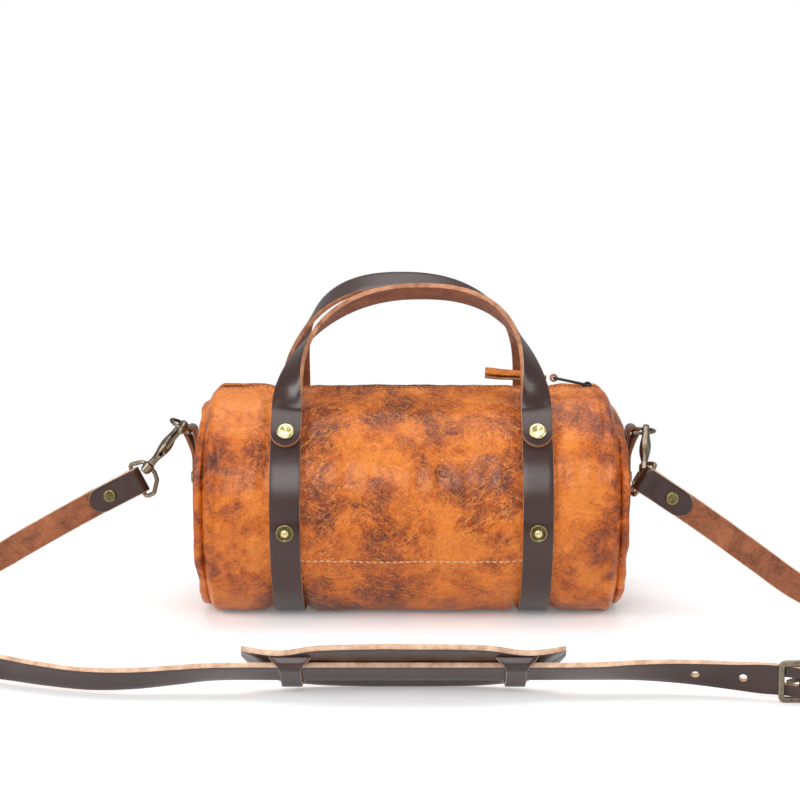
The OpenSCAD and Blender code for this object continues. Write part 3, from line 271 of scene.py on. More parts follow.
def stacked(name, rings, finishes, kinds=None, closed=False):
    """A solid through rings of points, capped with its second finish or closed on itself."""
    count = len(rings[0])
    points = [p for ring in rings for p in ring]
    last = len(points) - count
    faces = []
    for a in range(0, len(points) if closed else last, count):
        faces += band(a, (a + count) % len(points), count)
    picks = (kinds or [0] * count) * (len(faces) // count)
    if not closed:
        faces += [tuple(reversed(range(count))), tuple(range(last, last + count))]
        picks += [min(1, len(finishes) - 1)] * 2
    return mesh_piece(name, points, faces, finishes, picks)


def swept_strap(name, stations, thick, finishes, corner=0.5, closed=False):
    """A strap through stations of (place, along, grain side, half width)."""
    rings = []
    for place, along, grain_side, half in stations:
        along = along.normalized()
        grain_side = (grain_side - along * grain_side.dot(along)).normalized()
        across = grain_side.cross(along)
        rings.append([place + across * w + grain_side * g for w, g, _ in strap_ring(half, thick, corner)])
    kinds = [kind for _, _, kind in strap_ring(stations[0][3], thick, corner)]
    return stacked(name, rings, finishes, kinds, closed)


def smooth_line(knots, step):
    """A smooth curve through knots, each a tuple, as tuples about one step apart."""
    line = []
    count = len(knots)
    for i in range(count - 1):
        p1, p2 = Vector(knots[i]), Vector(knots[i + 1])
        p0 = Vector(knots[i - 1]) if i else p1 * 2 - p2
        p3 = Vector(knots[i + 2]) if i + 2 < count else p2 * 2 - p1
        pieces = max(1, round((p2.xyz - p1.xyz).length / step))
        d01 = max((p1.xyz - p0.xyz).length, 0.01) ** 0.5
        d12 = max((p2.xyz - p1.xyz).length, 0.01) ** 0.5
        d23 = max((p3.xyz - p2.xyz).length, 0.01) ** 0.5
        m1 = (p2 - p1) + ((p1 - p0) / d01 - (p2 - p0) / (d01 + d12)) * d12
        m2 = (p2 - p1) + ((p3 - p2) / d23 - (p3 - p1) / (d12 + d23)) * d12
        for j in range(pieces):
            u = j / pieces
            line.append((2 * u**3 - 3 * u**2 + 1) * p1 + (u**3 - 2 * u**2 + u) * m1
                        + (3 * u**2 - 2 * u**3) * p2 + (u**3 - u**2) * m2)
    line.append(Vector(knots[-1]))
    return line


def lying_strap(route, step):
    """Stations of a strap whose route gives place and lean: at no lean it stands on its edge."""
    line = smooth_line(route, step)
    stations = []
    for i, here in enumerate(line):
        along = (line[min(i + 1, len(line) - 1)].xyz - line[max(i - 1, 0)].xyz).normalized()
        up = (Vector((0, 0, 1)) - along * along.z).normalized()
        aside = along.cross(up)
        edge_up = up * cos(radians(here.w)) + aside * sin(radians(here.w))
        stations.append((here.xyz.copy(), along, along.cross(edge_up), 0.5 * STRAP_WIDE))
    return stations


buckle_turn, buckle_lean = radians(-15), radians(8)
buckle_along = Vector((cos(buckle_turn), sin(buckle_turn), 0))
buckle_up = Vector((sin(buckle_lean) * sin(buckle_turn), -sin(buckle_lean) * cos(buckle_turn), cos(buckle_lean)))
buckle_out = buckle_along.cross(buckle_up)
buckle_place = Vector((207.4, -235.5, 12.8))


def by_buckle(along, outward, upward=0.0):
    """A place measured from the middle of the buckle's front bar."""
    return buckle_place + buckle_along * along + buckle_out * outward + buckle_up * upward


long_route = [
    (-213.9, -9.25, 74.0, 0), (-240, -9.2, 59.6, 0), (-265, -9.2, 45.4, 0), (-282, -9.5, 35.5, 0),
    (-300, -11, 26, 0), (-320, -17, 17.6, 0), (-340, -28, 12, 0), (-357, -44, 9.8, 0),
    (-368, -64, 9.3, 0), (-371, -88, 9.3, 0), (-367, -116, 9.3, 0), (-355, -142, 9.4, 4),
    (-335, -164, 9.5, 9), (-308, -180, 9.9, 15), (-276, -190, 10.4, 22), (-242, -200, 10.6, 28),
    (-212, -213, 9.8, 34), (-184, -222, 9.4, 38), (-158, -226, 10.6, 42), (-134, -226, 12.6, 46),
    (-114, -226, 14.4, 50), (-60, -226, 14.7, 50), (-4, -226, 14.7, 50), (50, -226, 14.7, 50),
    (104, -226, 14.9, 50), (126, -225, 15.2, 45), (146, -225, 14.8, 38), (166, -226.5, 13.9, 30),
    (184, -229.3, 13, 20),
]
for along, outward in ((-10, 0), (2, 0.1), (8, 1.2), (15, 3.6), (22, 5.4), (29, 4.6), (38, 3.4), (54, 3.4), (74, 3.4)):
    long_route.append((*by_buckle(along, outward), 8))
short_route = [(*by_buckle(40.15, 0.15), 8), (*by_buckle(68.8, 0.15), 8)] + [
    (292, -257.5, 12, 6), (322, -259, 11, 4), (352, -253, 10, 2), (379, -239, 9.4, 0), (401, -217, 9.3, 0),
    (415, -189, 9.3, 0), (420, -158, 9.3, 0), (415, -127, 9.3, 0), (401, -99, 9.3, 0), (379, -78, 9.3, 0),
    (352, -64, 9.4, 0), (325, -55, 9.8, 0), (300, -50, 10.8, 0), (279, -48.6, 13.4, 0), (258, -47.7, 22.4, 0),
    (229, -47.7, 42.8, 0), (200, -47.6, 63.9, 0), (179.6, -47.65, 78.06, 0),
]


def cut_away(target, cutter):
    """Takes the cutter's shape out of a piece. The cut shows the cutter's material."""
    cut = target.modifiers.new("cut", "BOOLEAN")
    cut.operation = "DIFFERENCE"
    cut.solver = "EXACT"
    cut.material_mode = "TRANSFER"
    cut.object = cutter
    settle(target)
    bpy.data.objects.remove(cutter)


def cut_holes(target, places, reach, radius):
    """Punches a hole at each (place, outward, along, stretch): round, or a slot where it is stretched."""
    sides, points, faces = 24, [], []
    for place, outward, along, stretch in places:
        outward = outward.normalized()
        along = (along - outward * along.dot(outward)).normalized()
        aside = outward.cross(along)
        base = len(points)
        for level in (-reach, reach):
            for i in range(sides):
                turn = 2 * pi * i / sides
                ahead = radius * cos(turn) + (stretch / 2 if cos(turn) > 0 else -stretch / 2)
                points.append(place + outward * level + along * ahead + aside * radius * sin(turn))
        faces += band(base, base + sides, sides)
        faces += [tuple(reversed(range(base, base + sides))), tuple(range(base + sides, base + 2 * sides))]
    cut_away(target, mesh_piece("punch", points, faces, [cut_edge], smooth=False))


def settle(target):
    """Turns a piece and its modifiers into one plain mesh."""
    bpy.context.view_layer.update()
    made = bpy.data.meshes.new_from_object(target.evaluated_get(bpy.context.evaluated_depsgraph_get()))
    target.modifiers.clear()
    target.data = made


leathers = [bridle, cut_edge, flesh]
long_stations = lying_strap(long_route, 3.0)
strap_long = swept_strap("strap_long", long_stations, STRAP_THICK, leathers)
front_run = [s for s in long_stations if s[0].y <= -200]
holes = []
for along, stretch in [(PRONG_HOLE + k * HOLE_PITCH, 0.0) for k in (-2, -1, 1, 2)] + [(5.7, 5.4)]:
    spot = min(front_run, key=lambda s: abs((s[0] - buckle_place).dot(buckle_along) - along))
    holes.append((spot[0], spot[2], spot[1], stretch))
cut_holes(strap_long, holes, 4.0, 2.4)
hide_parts("long_strap")
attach(strap_long, "bag")

short_stations = lying_strap(short_route, 3.0)
strap_short = swept_strap("strap_short", short_stations, STRAP_THICK, leathers)
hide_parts("short_strap")
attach(strap_short, "bag")


# Barrel body: one piece of thick pull-up leather rolled into a drum, open along the top for the
# zip. It rests on the two dark straps, sags between them, and puffs out over the end seams.
BARREL_R = 76.0
BARREL_Z = 76.0
BARREL_HALF = 135.0
WALL = 2.4
SLOT_HALF = 12.0
BARREL_REACH = BARREL_HALF + 1.6
ROLLED = 8.0

pull_up, tree, at = finish_named("cognac_pull_up_leather")
# Oil-stuffed hide: orange where it is stretched, red-brown clouds some 40 mm across where the wax
# sits. Dark pores stand about 1.9 mm apart, densest in the clouds. Fans of thin golden creases and
# fine scratches run over both. The finish is waxed, with a soft broad shine.
warp = add(tree, "ShaderNodeTexNoise", {"Vector": at, "Scale": 60.0, "Detail": 3.0})
bent = add(tree, "ShaderNodeVectorMath", {0: warp.outputs["Color"], 1: (0.5, 0.5, 0.5)}, operation="SUBTRACT")
near = add(tree, "ShaderNodeVectorMath", {0: bent.outputs[0], "Scale": 0.004}, operation="SCALE")
near = add(tree, "ShaderNodeVectorMath", {0: at, 1: near.outputs[0]}, operation="ADD").outputs[0]
bent = add(tree, "ShaderNodeVectorMath", {0: bent.outputs[0], "Scale": 0.014}, operation="SCALE")
bent = add(tree, "ShaderNodeVectorMath", {0: at, 1: bent.outputs[0]}, operation="ADD").outputs[0]
clouds = add(tree, "ShaderNodeTexNoise", {"Vector": bent, "Scale": 17.0, "Detail": 5.0, "Roughness": 0.6})
patches = add(tree, "ShaderNodeTexNoise", {"Vector": bent, "Scale": 85.0, "Detail": 6.0, "Roughness": 0.68,
                                           "Distortion": 0.5})
mottle = add(tree, "ShaderNodeMath", {0: patches.outputs["Fac"], 1: 0.36}, operation="MULTIPLY")
mottle = add(tree, "ShaderNodeMath", {0: clouds.outputs["Fac"], 1: 0.64, 2: mottle.outputs[0]},
             operation="MULTIPLY_ADD")
along = add(tree, "ShaderNodeSeparateXYZ", {0: at})
from_middle = add(tree, "ShaderNodeMath", {0: along.outputs["X"]}, operation="ABSOLUTE")
paler = add(tree, "ShaderNodeMapRange", {"Value": from_middle.outputs[0], "From Min": 0.085, "From Max": 0.115,
                                         "To Min": 0.0, "To Max": 0.035})
mottle = add(tree, "ShaderNodeMath", {0: mottle.outputs[0], 1: paler.outputs[0]}, operation="ADD")
tone = add(tree, "ShaderNodeValToRGB", {"Fac": mottle.outputs[0]})
set_stops(tone, (0.405, "#5C2412"), (0.6, "#E07E28"), (0.45, "#7E3616"), (0.49, "#A3480F"), (0.54, "#C86515"))


def creases(turn, long, apart, thin):
    """Thin wandering lines where a noise crosses its middle value, long and apart in metres."""
    laid = add(tree, "ShaderNodeMapping", {"Vector": near, "Rotation": turn, "Scale": (long, apart, apart)},
               vector_type="TEXTURE")
    field = add(tree, "ShaderNodeTexNoise", {"Vector": laid.outputs[0], "Scale": 1.0, "Detail": 4.0, "Roughness": 0.55})
    off = add(tree, "ShaderNodeMath", {0: field.outputs["Fac"], 1: 0.5}, operation="SUBTRACT")
    off = add(tree, "ShaderNodeMath", {0: off.outputs[0]}, operation="ABSOLUTE")
    return add(tree, "ShaderNodeMapRange", {"Value": off.outputs[0], "From Min": 0.0, "From Max": thin,
                                            "To Min": 1.0, "To Max": 0.0}).outputs[0]


rising = creases((0.1, -0.75, 0.15), 0.03, 0.0052, 0.03)
falling = creases((0.2, 0.5, -0.1), 0.034, 0.006, 0.024)
netted = creases((0.4, 1.2, 0.3), 0.006, 0.0034, 0.045)
where = add(tree, "ShaderNodeTexNoise", {"Vector": at, "Scale": 28.0, "Detail": 2.0})
rise_at = add(tree, "ShaderNodeMapRange", {"Value": where.outputs["Fac"], "From Min": 0.42, "From Max": 0.56})
fall_at = add(tree, "ShaderNodeMapRange", {"Value": where.outputs["Fac"], "From Min": 0.58, "From Max": 0.44})
rising = add(tree, "ShaderNodeMath", {0: rising, 1: rise_at.outputs[0]}, operation="MULTIPLY")
falling = add(tree, "ShaderNodeMath", {0: falling, 1: fall_at.outputs[0]}, operation="MULTIPLY")
netted = add(tree, "ShaderNodeMath", {0: netted, 1: 0.4}, operation="MULTIPLY")
lines = add(tree, "ShaderNodeMath", {0: rising.outputs[0], 1: falling.outputs[0]}, operation="MAXIMUM")
lines = add(tree, "ShaderNodeMath", {0: lines.outputs[0], 1: netted.outputs[0]}, operation="MAXIMUM")
stretched = add(tree, "ShaderNodeMapRange", {"Value": from_middle.outputs[0], "From Min": 0.09, "From Max": 0.12,
                                             "To Min": 0.72, "To Max": 0.18})
line_share = add(tree, "ShaderNodeMath", {0: lines.outputs[0], 1: stretched.outputs[0]}, operation="MULTIPLY")
veined = add(tree, "ShaderNodeMix", {"Factor": line_share.outputs[0], 6: tone.outputs["Color"], 7: linear("#F59A3C")},
             data_type="RGBA")
pores = add(tree, "ShaderNodeTexVoronoi", {"Vector": near, "Scale": 520.0}, feature="F1")
pits = add(tree, "ShaderNodeMapRange", {"Value": pores.outputs["Distance"], "From Min": 0.2, "From Max": 0.38,
                                        "To Min": 1.0, "To Max": 0.0})
pits_where = add(tree, "ShaderNodeMapRange", {"Value": mottle.outputs[0], "From Min": 0.42, "From Max": 0.56,
                                              "To Min": 0.9, "To Max": 0.24})
pits = add(tree, "ShaderNodeMath", {0: pits.outputs[0], 1: pits_where.outputs[0]}, operation="MULTIPLY")
dotted = add(tree, "ShaderNodeMix", {"Factor": pits.outputs[0], 6: veined.outputs[2], 7: linear("#3E150A")},
             data_type="RGBA")
relief = add(tree, "ShaderNodeMath", {0: lines.outputs[0], 1: -0.55, 2: patches.outputs["Fac"]},
             operation="MULTIPLY_ADD")
relief = add(tree, "ShaderNodeMath", {0: pits.outputs[0], 1: -0.7, 2: relief.outputs[0]}, operation="MULTIPLY_ADD")
puckers = add(tree, "ShaderNodeTexNoise", {"Vector": bent, "Scale": 110.0, "Detail": 2.0, "Distortion": 0.8})
puckered = add(tree, "ShaderNodeBump", {"Strength": 0.65, "Distance": 0.004, "Height": puckers.outputs["Fac"]})
bump = add(tree, "ShaderNodeBump", {"Strength": 0.6, "Distance": 0.0008, "Height": relief.outputs[0],
                                    "Normal": puckered.outputs[0]})
gloss = add(tree, "ShaderNodeMapRange", {"Value": mottle.outputs[0], "From Min": 0.4, "From Max": 0.6,
                                         "To Min": 0.3, "To Max": 0.42})
skin = add(tree, "ShaderNodeBsdfPrincipled", {"Base Color": dotted.outputs[2], "Roughness": gloss.outputs[0],
                                              "Normal": bump.outputs[0], "Specular IOR Level": 0.34,
                                              "Coat Weight": 0.24, "Coat Roughness": 0.19})
add(tree, "ShaderNodeOutputMaterial", {"Surface": skin.outputs[0]})

lining, tree, at = finish_named("natural_suede_inside")
# The bare inside of the same hide: pale tan nap with slow cloudy patches, no shine.
cloud = add(tree, "ShaderNodeTexNoise", {"Vector": at, "Scale": 50.0, "Detail": 8.0, "Roughness": 0.7})
nap = add(tree, "ShaderNodeTexNoise", {"Vector": at, "Scale": 1200.0, "Detail": 3.0})
tone = add(tree, "ShaderNodeMix", {"Factor": cloud.outputs["Fac"], 6: linear("#8E5A34"), 7: linear("#C08A58")},
           data_type="RGBA")
bump = add(tree, "ShaderNodeBump", {"Strength": 0.4, "Distance": 0.0004, "Height": nap.outputs["Fac"]})
skin = add(tree, "ShaderNodeBsdfPrincipled", {"Base Color": tone.outputs[2], "Roughness": 0.9,
                                              "Normal": bump.outputs[0]})
add(tree, "ShaderNodeOutputMaterial", {"Surface": skin.outputs[0]})


def ease(value, low, high):
    """0 below low, 1 above high, smooth between."""
    share = min(max((value - low) / (high - low), 0.0), 1.0)
    return share * share * (3 - 2 * share)


def hump(value, middle, half):
    """1 at the middle, falling smoothly to 0 some halves away."""
    return exp(-(((value - middle) / half) ** 2))


def barrel_swell(x, turn):
    """How far the leather stands off the plain drum, in millimetres. turn is degrees up from the front."""
    t = radians(turn)
    free = ease(abs(abs(x) - 82.0), 10.2, 19.0)
    at_bottom = ease(-sin(t), 0.5, 0.88)
    at_top = ease(sin(t), 0.85, 0.99)
    place = Vector((x * 0.021, cos(t) * 1.9, sin(t) * 1.9))
    slow = noise(place) * 1.6
    quick = noise(place * 3.1 + Vector((7, 3, 1))) * 0.6
    tucks = -abs(noise(Vector((x * 0.045, turn * 0.022, 5.0)))) * 0.9 + 0.25
    ripples = 0.7 * noise(Vector((x * 0.13, turn * 0.012, 9.0)))
    swell = (0.9 + slow + quick + tucks + ripples) * free * (1 - 0.55 * at_top)
    swell += 1.3 * ease(abs(x), 92.0, 104.0) * (1 - at_bottom) + 2.7 * at_bottom * free
    wander = 2.0 * noise(Vector((turn * 0.035, 2.0 if x > 0 else -2.0, 4.0)))
    depth = max(0.5 + 2.2 * noise(Vector((turn * 0.028, 6.0 if x > 0 else -6.0, 8.0))), 0.0)
    fold = -depth * hump(abs(x), 126.5 + wander, 1.7) + 0.8 * hump(abs(x), 131.5, 2.6)
    gathers = noise(Vector((x * 0.03, turn * 0.16, 2.0))) * 0.8 * ease(abs(x), 114.0, 130.0)
    lip = 2.3 * hump(turn, 81.0, 5.0) * (1 - ease(abs(x), 96.0, 116.0))
    return -0.15 * (1 - free) + swell + (gathers + fold) * (1 - at_top) + lip


def settled(x, y, z):
    """The stuffed ends' upper shoulders drop, more at the slider's end than at the other."""
    high = ease(z, 104.0, 150.0)
    drop = 15.0 * ease(x, 123.0, 143.0) ** 1.4 if x > 0 else 2.5 * ease(-x, 128.0, 138.0) + 5.5 * ease(-x, 134.5, 139.0)
    return (x, y, z - drop * high)


def barrel_point(x, turn, depth):
    """A point of the body's wall, depth millimetres inside its outer face."""
    rolled = max(abs(x) - (BARREL_REACH - ROLLED), 0.0) / ROLLED
    sink = 5.6 * (1 - sqrt(max(1 - rolled * rolled, 0.0)))
    r = BARREL_R + barrel_swell(x, turn) * (1 - rolled**3) - sink - depth
    y = -r * cos(radians(turn))
    z = BARREL_Z + r * sin(radians(turn))
    lowest = 3.35 - 2.7 * ease(abs(abs(x) - 82.0), 10.5, 19.0) + depth
    if z < lowest + 12.0:
        z = lowest + 1.3 * log(1 + exp((z - lowest) / 1.3))
    return settled(x, y, z)


def shell(name, us, vs, place, finishes, picks=(0, 1, 0)):
    """A sheet with thickness: place(u, v, layer) is its outer face at layer 0 and its inner one at 1."""
    points = [place(u, v, layer) for layer in (0, 1) for u in us for v in vs]
    wide, inner = len(vs), len(us) * len(vs)
    faces, chosen = [], []
    for i in range(len(us) - 1):
        for j in range(wide - 1):
            a, b = i * wide + j, (i + 1) * wide + j
            faces += [(a, a + 1, b + 1, b), (inner + a, inner + b, inner + b + 1, inner + a + 1)]
            chosen += [picks[0], picks[1]]
    rim = [i * wide for i in range(len(us))] + [(len(us) - 1) * wide + j for j in range(1, wide)]
    rim += [i * wide + wide - 1 for i in reversed(range(len(us) - 1))] + list(reversed(range(1, wide - 1)))
    for a, b in zip(rim, rim[1:] + rim[:1]):
        faces.append((a, b, inner + b, inner + a))
        chosen.append(picks[2])
    return mesh_piece(name, points, faces, finishes, chosen)


across_steps, round_steps = 208, 212
first_turn = degrees(atan2(sqrt(BARREL_R**2 - SLOT_HALF**2), SLOT_HALF))
shares = [i / across_steps * 2 - 1 for i in range(across_steps + 1)]
barrel = shell("barrel_body", [BARREL_REACH * (share * 0.86 + 0.14 * sin(share * pi / 2)) for share in shares],
               [first_turn - (180 + 2 * first_turn) * j / round_steps for j in range(round_steps + 1)],
               lambda x, turn, layer: barrel_point(x, turn, WALL * layer), [pull_up, lining])
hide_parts("body_panel")
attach(barrel, "bag")


# Threads: a pale row low on the front that holds the pocket, and a dark row along each edge of the
# zip's slot. Each stitch is a short plump bean of waxed thread, set along its row by Geometry Nodes.
def waxed_thread(name, dark, pale, twist):
    """Twisted polyester cord: two plies wound 0.8 mm apart, a little waxy. twist is how far they stand out."""
    made, tree, at = finish_named(name)
    plies = add(tree, "ShaderNodeTexWave", {"Vector": at, "Scale": 400.0, "Distortion": 1.0},
                bands_direction="DIAGONAL")
    tone = add(tree, "ShaderNodeMix", {"Factor": plies.outputs["Fac"], 6: linear(dark), 7: linear(pale)},
               data_type="RGBA")
    bump = add(tree, "ShaderNodeBump", {"Strength": twist, "Distance": 0.0002, "Height": plies.outputs["Fac"]})
    skin = add(tree, "ShaderNodeBsdfPrincipled", {"Base Color": tone.outputs[2], "Roughness": 0.55,
                                                  "Normal": bump.outputs[0]})
    add(tree, "ShaderNodeOutputMaterial", {"Surface": skin.outputs[0]})
    return made


# The pocket's row is cream. The slot's rows are dyed dark brown, so that they sink into the seam.
pale_thread = waxed_thread("cream_waxed_thread", "#C08A5C", "#EBC79C", 0.4)
dark_thread = waxed_thread("brown_waxed_thread", "#3A1D12", "#6E3C22", 0.0)

stitch_tree = bpy.data.node_groups.new("stitch_row", "GeometryNodeTree")
sockets = {}
for label, kind, start in (("Geometry", "NodeSocketGeometry", None), ("Pitch", "NodeSocketFloat", 0.004),
                           ("Stitch Length", "NodeSocketFloat", 0.003), ("Thread", "NodeSocketFloat", 0.0008),
                           ("Unevenness", "NodeSocketFloat", 0.12), ("Finish", "NodeSocketMaterial", None)):
    sockets[label] = stitch_tree.interface.new_socket(label, in_out="INPUT", socket_type=kind)
    if start is not None:
        sockets[label].default_value = start
stitch_tree.interface.new_socket("Geometry", in_out="OUTPUT", socket_type="NodeSocketGeometry")
given = stitch_tree.nodes.new("NodeGroupInput")
line = add(stitch_tree, "GeometryNodeMeshToCurve", {0: given.outputs["Geometry"]})
spots = add(stitch_tree, "GeometryNodeCurveToPoints", {0: line.outputs[0]}, mode="LENGTH")
stitch_tree.links.new(given.outputs["Pitch"], spots.inputs["Length"])
bean = add(stitch_tree, "GeometryNodeMeshUVSphere", {"Segments": 8, "Rings": 6, "Radius": 0.5})
shape = add(stitch_tree, "ShaderNodeCombineXYZ", {0: given.outputs["Thread"], 1: given.outputs["Thread"],
                                                  2: given.outputs["Stitch Length"]})
uneven = add(stitch_tree, "FunctionNodeRandomValue", {"Seed": 7}, data_type="FLOAT_VECTOR")
lowest = add(stitch_tree, "ShaderNodeMath", {0: 0.0, 1: given.outputs["Unevenness"]}, operation="SUBTRACT")
stitch_tree.links.new(lowest.outputs[0], uneven.inputs[0])
stitch_tree.links.new(given.outputs["Unevenness"], uneven.inputs[1])
tilt = add(stitch_tree, "FunctionNodeRotateRotation", {0: spots.outputs["Rotation"], 1: uneven.outputs[0]},
           rotation_space="LOCAL")
sewn = add(stitch_tree, "GeometryNodeInstanceOnPoints", {
    "Points": spots.outputs["Points"], "Instance": bean.outputs["Mesh"], "Rotation": tilt.outputs[0],
    "Scale": shape.outputs[0]})
real = add(stitch_tree, "GeometryNodeRealizeInstances", {0: sewn.outputs[0]})
soft = add(stitch_tree, "GeometryNodeSetShadeSmooth", {0: real.outputs[0]})
coated = add(stitch_tree, "GeometryNodeSetMaterial", {0: soft.outputs[0], "Material": given.outputs["Finish"]})
stitch_tree.links.new(coated.outputs[0], stitch_tree.nodes.new("NodeGroupOutput").inputs[0])


def sewn_rows(name, rows, pitch, long, thick, finish):
    """Stitches along rows of points in millimetres, as one plain mesh on the bag's body."""
    points, edges = [], []
    for row in rows:
        edges += [(len(points) + i, len(points) + i + 1) for i in range(len(row) - 1)]
        points += [tuple(c * MM for c in p) for p in row]
    mesh = bpy.data.meshes.new(name)
    mesh.from_pydata(points, edges, [])
    made = bpy.data.objects.new(name, mesh)
    bpy.context.scene.collection.objects.link(made)
    sewing = made.modifiers.new("sewing", "NODES")
    sewing.node_group = stitch_tree
    for label, value in (("Pitch", pitch * MM), ("Stitch Length", long * MM), ("Thread", thick * MM),
                         ("Finish", finish)):
        sewing[sockets[label].identifier] = value
    settle(made)
    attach(made, "bag")
    return made


pocket_row = [barrel_point(-71.5 + 1.3 * i, -24.0 + 0.5 * noise(Vector((i * 0.06, 1, 1))), -0.15) for i in range(111)]
sewn_rows("pocket_stitches", [pocket_row], 4.3, 3.4, 1.3, pale_thread)
slot_rows = []
for turn in (first_turn - 2.1, -180 - first_turn + 2.1):
    slot_rows.append([barrel_point(-124.0 + 2.0 * i, turn, 0.12) for i in range(125)])
sewn_rows("slot_stitches", slot_rows, 3.4, 2.3, 0.75, dark_thread)


# Inside pocket: a thin slip of the natural leather against the front wall, sewn along its foot by
# the pale row and open at the top.
POCKET_R = 72.6


def pocket_point(x, turn, layer):
    """A point of the slip, which hangs a little off the wall towards its open top."""
    sag = 0.8 * noise(Vector((x * 0.02, turn * 0.05, 3.0))) + 1.2 * ease(turn, -5.0, 25.0)
    r = POCKET_R - sag * 0.6 - 1.4 * layer
    return (x, -r * cos(radians(turn)), BARREL_Z + r * sin(radians(turn)))


pocket = shell("slip_pocket", [-75.0 + 3.0 * i for i in range(51)], [25.0 - 2.5 * j for j in range(23)], pocket_point,
               [lining, cut_edge], (0, 0, 1))
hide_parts("inner_pocket")
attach(pocket, "bag")


# Zip: two woven tapes sewn under the slot's edges, blackened teeth, stops and slider, a wire pull
# and on it a strip of the body's leather rolled into a tube, with a loop round the wire.
def finish_nodes(finish, *names):
    """Gives CAD pieces that keep their own shape their material."""
    for name in names:
        cad[name].data.materials.clear()
        cad[name].data.materials.append(finish)


gunmetal, tree, at = finish_named("gunmetal_zip")
# Zinc and brass zip parts blackened in a bath: charcoal, brighter where they rub, in 2 mm patches.
cloud = add(tree, "ShaderNodeTexNoise", {"Vector": at, "Scale": 500.0, "Detail": 4.0})
tone = add(tree, "ShaderNodeMix", {"Factor": cloud.outputs["Fac"], 6: linear("#1E2120"), 7: linear("#555A57")},
           data_type="RGBA")
gloss = add(tree, "ShaderNodeMapRange", {"Value": cloud.outputs["Fac"], "To Min": 0.25, "To Max": 0.45})
skin = add(tree, "ShaderNodeBsdfPrincipled", {"Base Color": tone.outputs[2], "Metallic": 1.0,
                                              "Roughness": gloss.outputs[0]})
add(tree, "ShaderNodeOutputMaterial", {"Surface": skin.outputs[0]})

tape_weave, tree, at = finish_named("woven_zip_tape")
# Twill tape of dark brown polyester, threads about 0.4 mm, drawn at 0.6 mm so that they show.
ribs = add(tree, "ShaderNodeTexWave", {"Vector": at, "Scale": 260.0, "Distortion": 0.6}, bands_direction="DIAGONAL")
tone = add(tree, "ShaderNodeMix", {"Factor": ribs.outputs["Fac"], 6: linear("#2A1D18"), 7: linear("#4B372E")},
           data_type="RGBA")
bump = add(tree, "ShaderNodeBump", {"Strength": 0.5, "Distance": 0.0003, "Height": ribs.outputs["Fac"]})
skin = add(tree, "ShaderNodeBsdfPrincipled", {"Base Color": tone.outputs[2], "Roughness": 0.85,
                                              "Normal": bump.outputs[0]})
add(tree, "ShaderNodeOutputMaterial", {"Surface": skin.outputs[0]})


ZIP_START, ZIP_LONG, TAPE_R = -124.0, 251.8, 73.3


def tape_point(side, x, y, layer):
    """A point of the front tape or the rear one, y millimetres off the middle of the slot."""
    r = TAPE_R - 0.9 * layer
    y += 0.25 * noise(Vector((x * 0.05, 4.0, side))) * ease(y, 8.0, 14.0)
    return settled(x, side * y, BARREL_Z + sqrt(r * r - y * y))


for side, name in ((-1, "front"), (1, "rear")):
    made = shell("tape_" + name, [ZIP_START + ZIP_LONG * i / 84 for i in range(85)],
                 [2.7 + 1.25 * j for j in range(13)],
                 lambda x, y, layer: tape_point(side, x, y, layer), [tape_weave], (0, 0, 0))
    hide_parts("zipper_tape_" + name)
    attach(made, "bag")
finish_nodes(gunmetal, "zipper_teeth_front", "zipper_teeth_rear", "zipper_stops", "zipper_slider", "zipper_pull")


LOOP_X, LOOP_Z, LACE_DIP = 97.28, 157.64, radians(4.0)


def lace_place(x, y, z):
    """A point of the leather pull, measured from the middle of its loop."""
    c, s = cos(LACE_DIP), sin(LACE_DIP)
    return Vector((LOOP_X + x * c + z * s, y, LOOP_Z - x * s + z * c))


# The strip is rolled up but for a gap, so its section runs round its outside and back round its inside.
section = [(radians(k), 1.0) for k in range(200, 521, 20)] + [(radians(k), 0.52) for k in range(520, 199, -20)]
count, half = len(section), len(section) // 2
points, faces, picks = [], [], []
for x in (-47.0, -46.0, -42.0, -37.0, -32.0, -27.0, -22.0, -17.0, -13.0, -10.0, -8.0, -6.5, -5.0):
    narrow = 0.42 + 0.58 * ease(-x, 5.0, 13.0)
    wave = 0.5 * noise(Vector((x * 0.1, 1.0, 2.0))) * ease(-x, 8.0, 20.0)
    for turn, share in section:
        uneven = 1 + 0.06 * noise(Vector((x * 0.2, cos(turn), sin(turn))))
        r = (3.3 + 0.5 * ease(-x, 20.0, 44.0)) * share * narrow * uneven
        points.append(lace_place(x, r * 1.02 * cos(turn + 0.5), r * sin(turn + 0.5) + wave))
for base in range(0, len(points) - count, count):
    faces += band(base, base + count, count)
    picks += [0] * (half - 1) + [1] * (half + 1)
for base in (0, len(points) - count):
    for j in range(half - 1):
        quad = (base + j, base + j + 1, base + count - 2 - j, base + count - 1 - j)
        faces.append(quad if base else tuple(reversed(quad)))
        picks.append(1)
tube = mesh_piece("lace_tube", points, faces, [pull_up, rubbed_edge], picks)
middle, loop = lace_place(0, 0, 0), []
for k in range(24):
    c, s = cos(2 * pi * k / 24), sin(2 * pi * k / 24)
    loop.append((lace_place(2.1 * c, 0, 2.1 * s), lace_place(-s, 0, c) - middle, lace_place(c, 0, s) - middle, 1.25))
ringlet = swept_strap("lace_loop", loop, 1.5, [pull_up, rubbed_edge, rubbed_edge], 0.3, closed=True)


def joined(name, pieces):
    """Several meshes that share one list of materials, made into one piece."""
    whole = bmesh.new()
    for piece in pieces:
        whole.from_mesh(piece.data)
    mesh = bpy.data.meshes.new(name)
    whole.to_mesh(mesh)
    whole.free()
    for finish in pieces[0].data.materials:
        mesh.materials.append(finish)
    for piece in pieces:
        bpy.data.objects.remove(piece)
    made = bpy.data.objects.new(name, mesh)
    bpy.context.scene.collection.objects.link(made)
    return made


